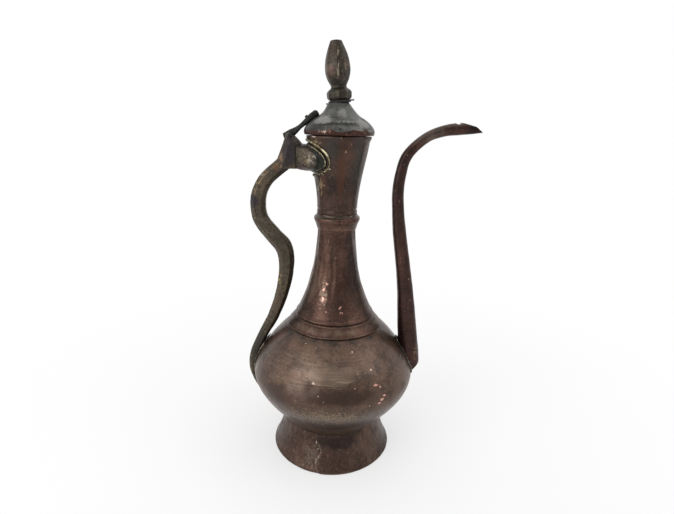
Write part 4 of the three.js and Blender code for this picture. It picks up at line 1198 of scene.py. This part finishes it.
pitted(handle_bar, (9, 0.16), (2.2, 0.07), (0.9, 0.03))
fix(handle_bar, "jug", "cast_brass", "handle")


# Saddle. A cast boss that swells from the head of the handle to a thin oval flange, which
# is bent round the mouth and sweated to it.
flange_wall = 1.7
boss_half, boss_tall = 18.2, 9.7


def boss():
    """Sections that swell from the squarish head to a round shoulder and step in before the mouth."""
    points, sides, rows = [], 60, 44
    start, end = head_face - 0.4, -8
    for i in range(rows):
        share = i / (rows - 1)
        swell = math.sin(min(share / 0.74, 1) * math.pi / 2) ** 0.85
        step_in = min(max((share - 0.66) / 0.12, 0), 1) ** 2
        half = (head_width / 2 + 0.05) * (1 - swell) + boss_half * swell - 4 * step_in
        tall = boss_tall + 0.3 * swell - 1.6 * step_in
        centre = (pin.y - 14.2) * (1 - swell) + (pin.y - 15.5) * swell
        power = 2 / (3.6 - 1.5 * swell)
        for s in range(sides):
            turn = 2 * math.pi * s / sides
            across, up = (math.copysign(abs(v) ** power, v) for v in (math.cos(turn), math.sin(turn)))
            points.append(at(start + (end - start) * share, half * across, centre + tall * up))
    return points, bands(rows, sides, flipped=True)


def flange():
    """An oval plate bent round the mouth, thin at its edge."""
    points, faces, rows, sides = [], [], 14, 120
    for layer in (0, 1):
        for i in range(rows + 1):
            share = i / rows
            for s in range(sides):
                turn = 2 * math.pi * s / sides
                out = flange_wall * (0.75 + 0.35 * share ** 3 - 0.5 * share ** 14) if layer else -0.6
                rim = on_mouth(turn, 0, 0)
                z = flange_z + (rim.z - flange_z) * share
                away = math.atan2(-rim.y, -rim.x) * share
                r = mouth_radius_at(z) + out
                points.append(at(-r * math.cos(away), -r * math.sin(away), z))
    size = (rows + 1) * sides
    for layer in (0, 1):
        for i in range(rows):
            for s in range(sides):
                n = (s + 1) % sides
                a, b = layer * size + i * sides, layer * size + (i + 1) * sides
                quad = (a + s, a + n, b + n, b + s)
                faces.append(quad if layer == 0 else quad[::-1])
    for s in range(sides):
        n = (s + 1) % sides
        faces.append((size - sides + s, size - sides + n, 2 * size - sides + n, 2 * size - sides + s))
    return points, faces


def ranged_evenly(tree, value, low, high, to_low, to_high):
    """The value carried in a straight line from one range to another, also past its ends."""
    sockets = {"Value": value, "From Min": low, "From Max": high, "To Min": to_low, "To Max": to_high}
    return add_node(tree, "ShaderNodeMapRange", sockets, clamp=False).outputs[0]


def close_to_mouth(finish, full, none):
    """Where the casting is within so many mm of the mouth's wall, below the top of the flange."""
    tree = finish.tree
    part = place_parts(tree)
    from_axis = calculated(tree, "SUBTRACT", part["X"], axis_x)
    squares = [calculated(tree, "MULTIPLY", side, side) for side in (from_axis, part["Y"])]
    radius = calculated(tree, "SQRT", calculated(tree, "ADD", *squares))
    low, high = mouth_radius_at(flange_z - 9), mouth_radius_at(flange_z + 13)
    wall = ranged_evenly(tree, part["Z"], (flange_z - 9) * mm, (flange_z + 13) * mm, low * mm, high * mm)
    off_wall = calculated(tree, "SUBTRACT", radius, wall)
    held = ranged(tree, off_wall, full * mm, none * mm, 1.0, 0.0)
    below = ranged(tree, part["Z"], (flange_z + 8) * mm, (flange_z + 11.5) * mm, 1.0, 0.0)
    return calculated(tree, "MULTIPLY", held, below)


saddle_brass = old_brass("saddle_brass", (0.085, 0.068, 0.054), (0.13, 0.095, 0.06))
saddle_brass.layer((0.022, 0.02, 0.017), 0.75, scale=210.0, detail=6.0, low=0.48, high=0.6)
saddle_brass.layer((0.3, 0.26, 0.22), 0.6, scale=380.0, detail=5.0, low=0.58, high=0.68)
wear_and_light_patches(saddle_brass, (0.03, 0.027, 0.023), [((-27, -9, 256), (7, 9, 4))], 0.8, **soft)
wear_and_light_patches(saddle_brass, (0.07, 0.08, 0.048), [((-32, -6, 248), (2, 5, 16))], 0.7, **speckled)
wear_and_light_patches(saddle_brass, (0.12, 0.07, 0.07), [((-27, -12, 240), (7, 8, 5))], 0.7, **speckled)
# Painted highlight on the rounded end of the boss, broken into pale patches.
boss_highlight = [((-17, -18, 250), (5, 6, 5)), ((-21, -16, 246), (4, 6, 7))]
wear_and_light_patches(saddle_brass, (0.3, 0.265, 0.235), boss_highlight, 0.7, scale=520.0, fill=0.24, low=0.62, high=0.76)
cheek = [((-24, -14, 245), (8, 8, 9))]
wear_and_light_patches(saddle_brass, (0.26, 0.2, 0.09), cheek, 0.6, scale=420.0, fill=0.22, low=0.66, high=0.78)
# Painted shade: near black on the flange where it lies close to the mouth, round the boss.
saddle_brass.paint((0.018, 0.019, 0.016), close_to_mouth(saddle_brass, 2.2, 3.2), 0.95)
saddle_boss = new_piece("saddle_casting", boss(), saddle_brass.done())
recast(saddle_boss, 0.4, 2, new_piece("flange", flange(), table_paint))
pitted(saddle_boss, (7, 0.3), (2.5, 0.12), (1.0, 0.04))
within_head = block((head_face - 20.35, 0, pin.y - 30), (40, 40, 40))
carve(saddle_boss, core(mouth_outside[:-8], 0.12, 160), within_head, crease=50)
fix(saddle_boss, "jug", "cast_brass", "handle_saddle")


# Lid. An ogee cap of copper, tinned grey inside and out, its hem turned in. The tin is worn
# through to red copper round the brim.
lid_low, lid_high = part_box("lid")
lid_z = lid_low.z / mm
lid_radius = (lid_high.y - lid_low.y) / 2 / mm
crown_z = lid_high.z / mm
crown_radius = 8.2
hem = 2.4

lid_outside = traced(
    near(lid_radius, lid_z, (-0.9, 0.1)),
    (*near(lid_radius, lid_z, (-0.1, 0.5), (0.1, 1.8), (0, 3.2)), 10),
    ((lid_radius - 0.6, lid_z + 6.4), (lid_radius * 0.86, lid_z + 9.2), (lid_radius * 0.7, lid_z + 12.1), 18),
    ((lid_radius * 0.56, lid_z + 13.7), (lid_radius * 0.43, lid_z + 17.2), (crown_radius, crown_z - 0.6), 20),
    near(crown_radius, crown_z, (-0.3, -0.15), (-0.8, 0)),
    [(5.5, crown_z), (3.7, crown_z)],
)
lid_inside = beside(lid_outside[9:-2], sheet_wall)[::-1]
lid_outline = lid_outside + [(3.7, crown_z - sheet_wall), (5.5, crown_z - sheet_wall)] + lid_inside
lid_outline += [(lid_radius - 1.6, lid_z + 1.6)]
lid_outline += near(lid_radius - 0.9 - hem, lid_z, (0, 1.2), (0, 0.1), (0.4, 0))


def lid_shape(angle, r, z):
    """The crown is pushed up and over a little, the way the finial leans."""
    near_crown = min(max((z - crown_z + 8) / 8, 0), 1) ** 2
    across = r * math.cos(angle)
    out = -1.3 * near_crown * math.cos(angle) * min(r / crown_radius, 1)
    up = near_crown * (0.9 + 0.08 * across)
    if r > crown_radius:
        out += 0.22 * waver(angle, z, r, 13, 51) + 0.09 * waver(angle, z, r, 5, 53)
        up += 0.1 * waver(angle, 0, r, 12, 55) * (1 - near_crown)
    return out, up


tinned = Finish("tinned_copper", (0.125, 0.124, 0.115), 0.36, 0.82)
for colour, share, scale, detail, low, high, stretch in (
    ((0.028, 0.027, 0.025), 0.9, 44.0, 6.0, 0.44, 0.64, (1, 1, 1)),
    ((0.3, 0.295, 0.275), 0.75, 24.0, 6.0, 0.52, 0.7, around),
    ((0.03, 0.03, 0.029), 0.45, 240.0, 6.0, 0.48, 0.66, (1, 1, 1)),
    ((0.3, 0.295, 0.28), 0.25, 560.0, 3.0, 0.56, 0.7, (1, 1, 1)),
):
    tinned.layer(colour, share, scale=scale, detail=detail, low=low, high=high, stretch=stretch)
shaded = [((0, 0, crown_z), (12, 12, 9)), ((0, 0, lid_z + 8.2), (50, 50, 3.4))]
wear_and_light_patches(tinned, (0.014, 0.013, 0.013), shaded, 0.8, **soft)
# Painted highlights on the slope of the lid, left, right and middle.
lid_highlights = [((-12, -17, 275), (13, 10, 5)), ((17, -15, 273), (10, 10, 6)), ((2, -14, 279), (5, 8, 9))]
wear_and_light_patches(tinned, (0.27, 0.265, 0.25), lid_highlights, 0.75, **soft)
wear_and_light_patches(tinned, (0.3, 0.295, 0.28), [((3, -20, 273.8), (22, 10, 1.4))], 0.5, **speckled)
brim_edge = tinned.effect("cloudy", scale=120.0, detail=6.0, low=0.3, high=0.7)
ragged = calculated(tinned.tree, "MULTIPLY_ADD", brim_edge, 3.2 * mm, place_parts(tinned.tree)["Z"])
worn_brim = ranged(tinned.tree, ragged, (lid_z + 5.0) * mm, (lid_z + 5.6) * mm, 1.0, 0.0)
tinned.paint((0.05, 0.023, 0.017), worn_brim)
brim_chips = tinned.effect("cloudy", scale=460.0, detail=5.0, low=0.56, high=0.64)
tinned.paint((0.2, 0.105, 0.085), calculated(tinned.tree, "MULTIPLY", brim_chips, worn_brim), 0.6)
# Pale chips in the worn copper brim.
brim_pale_chips = [((-9, -24, 266.6), (10, 8, 2.2))]
wear_and_light_patches(tinned, (0.42, 0.31, 0.27), brim_pale_chips, 0.8, scale=700.0, fill=0.2, low=0.66, high=0.78)
wear_and_light_patches(tinned, (0.05, 0.05, 0.047), [((-2, -6, 285), (10, 10, 6))], 0.6, **soft)
grime = tinned.layer(near_black, 0.7, "specks", scale=300.0, size=0.34, share=0.18)
tinned.roughen(tinned.effect("cloudy", scale=90.0), 0.14)
tinned.raise_by(tinned.effect("hammer", scale=150.0, grain=0.15), 0.09)
tinned.raise_by(grime, -0.06)
tinned = tinned.done()
lid_cap = new_piece("lid_cap", turned(lid_outline, 200, lid_shape), tinned)
fix(lid_cap, "lid", "tinned_copper", "lid")


# Bezel. A ring of copper strip bent to an angle and tinned with the lid. It lies on the hem
# and steadies the lid in the mouth.
bezel_low, bezel_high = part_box("lid_bezel")
bezel_foot = bezel_low.z / mm
bezel_top = bezel_high.z / mm
bezel_outer = (bezel_high.y - bezel_low.y) / 2 / mm
bezel_radius = 20.6
bezel_outline = near(bezel_radius, bezel_foot, (-0.9, 0), (-0.3, 0), (0, 0.3))
bezel_outline += near(bezel_radius, bezel_top, (0, -1.5), (0.3, -1.2))
bezel_outline += near(bezel_outer, bezel_top, (0, -1.2), (0, -0.1), (-0.2, 0))
bezel_outline += near(bezel_radius, bezel_top, (-0.9, 0), (-1.2, -0.4))
bezel_outline += near(bezel_radius, bezel_foot, (-1.2, 0.4))
bezel_ring = new_piece("bezel_ring", turned(bezel_outline, 160), tinned)
fix(bezel_ring, "lid", "tinned_copper", "lid_bezel")


# Finial. One brass casting, an eight-sided bud over an eight-sided collar, whose tang goes
# through the crown and is peened over a rove inside. It leans a little to the handle.
finial_height = 43.4
lean = math.radians(5.3)
bud_radius, bud_top, bud_neck = 9.4, 4.2, 5.8
collar_radius, collar_height = 9.2, 7.5
stem_radius, stem_height, stem_foot = 7.2, 2.9, 0.85
tang_radius, tang_end = 3.0, -3.42
collar_top = stem_height + collar_height
neck_at = collar_top + 1.7
bud_at = neck_at + (finial_height - neck_at) * 0.38

finial_outline = traced(
    [(0, tang_end - 1.2)],
    near(tang_radius, tang_end, (1.1, -1), (1.1, 0), (0, 0)),
    [(tang_radius, stem_foot), (stem_radius, stem_foot), (stem_radius, stem_height - 0.2)],
    near(collar_radius, stem_height, (-1.8, 0), (-1.2, 0.2)),
    (*near(collar_radius, stem_height, (-0.2, 1), (0, 1.8), (0, 3)), 5),
    near(collar_radius, collar_top, (0.05, -3)),
    (*near(collar_radius, collar_top, (0, -1.6), (-0.8, -1)), (bud_neck + 1.2, collar_top + 0.1), 8),
    ((bud_neck + 0.3, collar_top + 0.6), *near(bud_neck, neck_at, (-0.3, -0.4), (0.2, 0.9)), 8),
    (*near(bud_radius, neck_at, (-2.4, 3.2), (0, 6)), (bud_radius, bud_at), 18),
    ((bud_radius, bud_at + 8), *near(bud_top, finial_height, (2.0, -5), (0.5, -1.2)), 24),
    (*near(bud_top, finial_height, (0.3, -0.5), (0, 0), (-0.8, 0)), 5),
    [(bud_top * 0.4, finial_height), (0, finial_height)],
)


ridges = [math.radians(-90 + turn) for turn in (-54, 0, 35, 80, 130, 178, 222, 262, 306)]


def eight_sided(angle, r, z):
    """Flat sides filed by eye, which meet in ridges, one of them facing the viewer, above the round stem."""
    if z < stem_height:
        return 0, 0
    ahead = (angle - ridges[0]) % (2 * math.pi) + ridges[0]
    side = max(i for i in range(8) if ridges[i] <= ahead + 1e-9)
    half = (ridges[side + 1] - ridges[side]) / 2
    turn = ahead - ridges[side] - half
    flat = math.cos(half) / math.cos(turn)
    hollow = (0.3 if z > neck_at else 0.1) * (half / 0.4) * -math.cos(turn / half * math.pi)
    fade = min((z - stem_height) / 0.4, 1)
    skin = 0.1 * waver(angle, z, 12, 5, 61) + 0.05 * waver(angle, z, 12, 2, 63)
    shift = r * (1.03 * flat - 1) - 0.6 * max(hollow, 0) + (skin if r > 3 else 0)
    return shift * fade, 0.25 * waver(angle, z, 9, 9, 65) * (r > 2) * fade


finial_brass = old_brass("finial_brass", (0.042, 0.034, 0.027), (0.074, 0.046, 0.03))
finial_brass.layer(
    (0.095, 0.076, 0.055), 0.4, stretch=(4, 4, 1), scale=110.0, detail=4.0, low=0.5, high=0.7)
rosy_sides = [((7, -6, 316), (5, 7, 12)), ((-7, -6, 309), (6, 7, 6))]
wear_and_light_patches(finial_brass, (0.095, 0.055, 0.045), rosy_sides, 0.6, **soft)
wear_and_light_patches(finial_brass, (0.045, 0.044, 0.03), [((0, 0, 294), (14, 14, 6))], 0.7, **soft)
front_ridge = [((-2.2, -9, 323), (1.1, 6, 11)), ((-1.6, -9, 309), (1.1, 6, 11))]
wear_and_light_patches(finial_brass, (0.3, 0.25, 0.18), front_ridge, 0.85, scale=700.0, fill=0.5, low=0.7, high=0.86)
side_scuffs = [((3.5, -8, 312), (3, 6, 7)), ((5, -8, 322), (3, 6, 8))]
wear_and_light_patches(finial_brass, (0.24, 0.19, 0.12), side_scuffs, 0.7, scale=700.0, fill=0.26, low=0.66, high=0.78)
# Painted shade: the stem and the foot of the collar go black under the collar's overhang.
wear_and_light_patches(finial_brass, (0.009, 0.008, 0.007), [((0, 0, crown_z + 1.0), (16, 16, 3.2))], 1.0, **soft)
# Painted shade: darker round the narrow neck between collar and bud.
wear_and_light_patches(finial_brass, (0.02, 0.018, 0.016), [((0, 0, crown_z + 13.4), (14, 14, 5))], 0.85, **soft)
finial_bud = new_piece("finial_casting", turned(finial_outline, 160, eight_sided), finial_brass.done(), 35)
leaning = (
    Matrix.Translation((axis_x, 0, crown_z * mm)) @ Matrix.Rotation(-lean, 4, "Y")
    @ Matrix.Translation((-axis_x, 0, 0))
)
finial_bud.data.transform(leaning)
fix(finial_bud, "lid", "cast_brass", "finial")


# Iron wire. One length wound one and a half times round the stem to take up the play of the
# finial, with both ends left standing off.
iron = Finish("black_iron", (0.02, 0.019, 0.018), 0.42, 0.7)
iron.layer((0.05, 0.048, 0.042), 0.7, scale=90.0, detail=5.0, low=0.5, high=0.7)
iron.layer((0.055, 0.045, 0.025), 0.4, scale=60.0, detail=5.0, low=0.55, high=0.7)
iron.layer((0.2, 0.19, 0.17), 0.5, "rub")
iron.raise_by(iron.effect("cloudy", scale=350.0, detail=4.0), 0.1)
iron = iron.done()
wire_black = Finish("wire_black", (0.01, 0.009, 0.008), 0.6, 0.2)
wire_black.layer((0.04, 0.035, 0.03), 0.6, scale=500.0, detail=4.0, low=0.55, high=0.7)
wire_black = wire_black.done()
wire_radius = 0.5
coil_radius = stem_radius + 0.25 + wire_radius
wire_turns, wire_pitch, wire_tail = 1.5, 0.85, 3.0
coil_from = math.pi * 0.92


def wire_path():
    """Points along the middle of the wire, from one free end to the other."""
    steps = 60
    coil = []
    for i in range(steps + 1):
        turns = i / steps * wire_turns
        turn = coil_from + turns * 2 * math.pi
        x, y = coil_radius * math.cos(turn), coil_radius * math.sin(turn)
        coil.append(Vector((x, y, 0.9 + turns * wire_pitch)))
    ends = []
    for end, following in ((coil[0], coil[1]), (coil[-1], coil[-2])):
        away = (end - following).normalized()
        out = Vector((end.x, end.y, 0)).normalized()
        ends.append([end + (away * 0.45 + out * 0.9) * wire_tail * s for s in (0.25, 0.5, 0.75, 1)])
    return ends[0][::-1] + coil + ends[1]


wound_wire = new_piece("wound_wire", drawn(wire_path(), wire_radius), wire_black)
wound_wire.data.transform(leaning)
fix(wound_wire, "lid", "iron", "finial_wire")


# Hinge. An iron arm with an eye on the pin, its stub resting in the fork as a stop and its
# tongue riveted up the slope of the lid. The pin is peened over both ears.
arm_run, arm_rise = 20.6, 18.0
tongue_width = 8.4
arm_stations = [
    (pin.x + x, pin.y + z, thick, arm_width)
    for x, z, thick in ((-4.3, -0.1, 4.9), (-1.8, 0.8, 5.5), (1.6, 2.6, 5.8), (4.6, 4.6, 4.7))
]
arm_stations += [
    (pin.x + arm_run * run, pin.y + arm_rise * rise, thick, width)
    for run, rise, thick, width in (
        (0.37, 0.39, 3.4, arm_width * 1.08),
        (0.55, 0.56, 3.8, tongue_width * 0.8),
        (0.75, 0.75, 5.0, tongue_width),
        (0.93, 0.91, 5.2, tongue_width * 0.9),
    )
]
arm_stations += [(pin.x + arm_run + 1, pin.y + arm_rise, 3.4, tongue_width * 0.6)]
hinge_arm = new_piece("hinge_arm_forging", swept(arm_stations, filed_bar, 60), iron)
recast(hinge_arm, 0.3, 2, rod((pin.x, 0, pin.y), (0, 1, 0), 3.7, arm_width))
carve(hinge_arm, rod((pin.x, 0, pin.y), (0, 1, 0), 2.05, 20), core(lid_outside, 0.15), crease=30)
pitted(hinge_arm, (5, 0.1), (1.5, 0.04))
fix(hinge_arm, "lid", "iron", "hinge_arm")

pin_half = (pin_high.y - pin_low.y) / 2 / mm
pin_outline = near(0, -pin_half, (0, 0), (1.0, 0.05), (1.8, 0.4), (2.15, 0.95), (2.15, 1.1), (1.6, 1.1))
pin_outline += [(r, -y) for r, y in pin_outline[::-1]]
pin_bar = new_piece("pin_bar", turned(pin_outline, 40), iron)
pin_place = Matrix.Translation(at(pin.x, 0, pin.y)) @ Matrix.Rotation(-math.pi / 2, 4, "X")
pin_bar.data.transform(pin_place @ Matrix.Translation((-axis_x, 0, 0)))
fix(pin_bar, "jug", "iron", "hinge_pin")


# Rivets and rove. Two iron rivets clench the arm to the lid, and a copper washer takes the
# tang of the finial. Their solids stay as they are under the finish of their neighbours.
for node, finish, slot in (
    ("arm_rivet_1", iron, "iron"), ("arm_rivet_2", iron, "iron"), ("finial_rove", tinned, "tinned_copper"),
):
    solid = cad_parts[node]
    solid.data.materials.clear()
    solid.data.materials.append(finish)
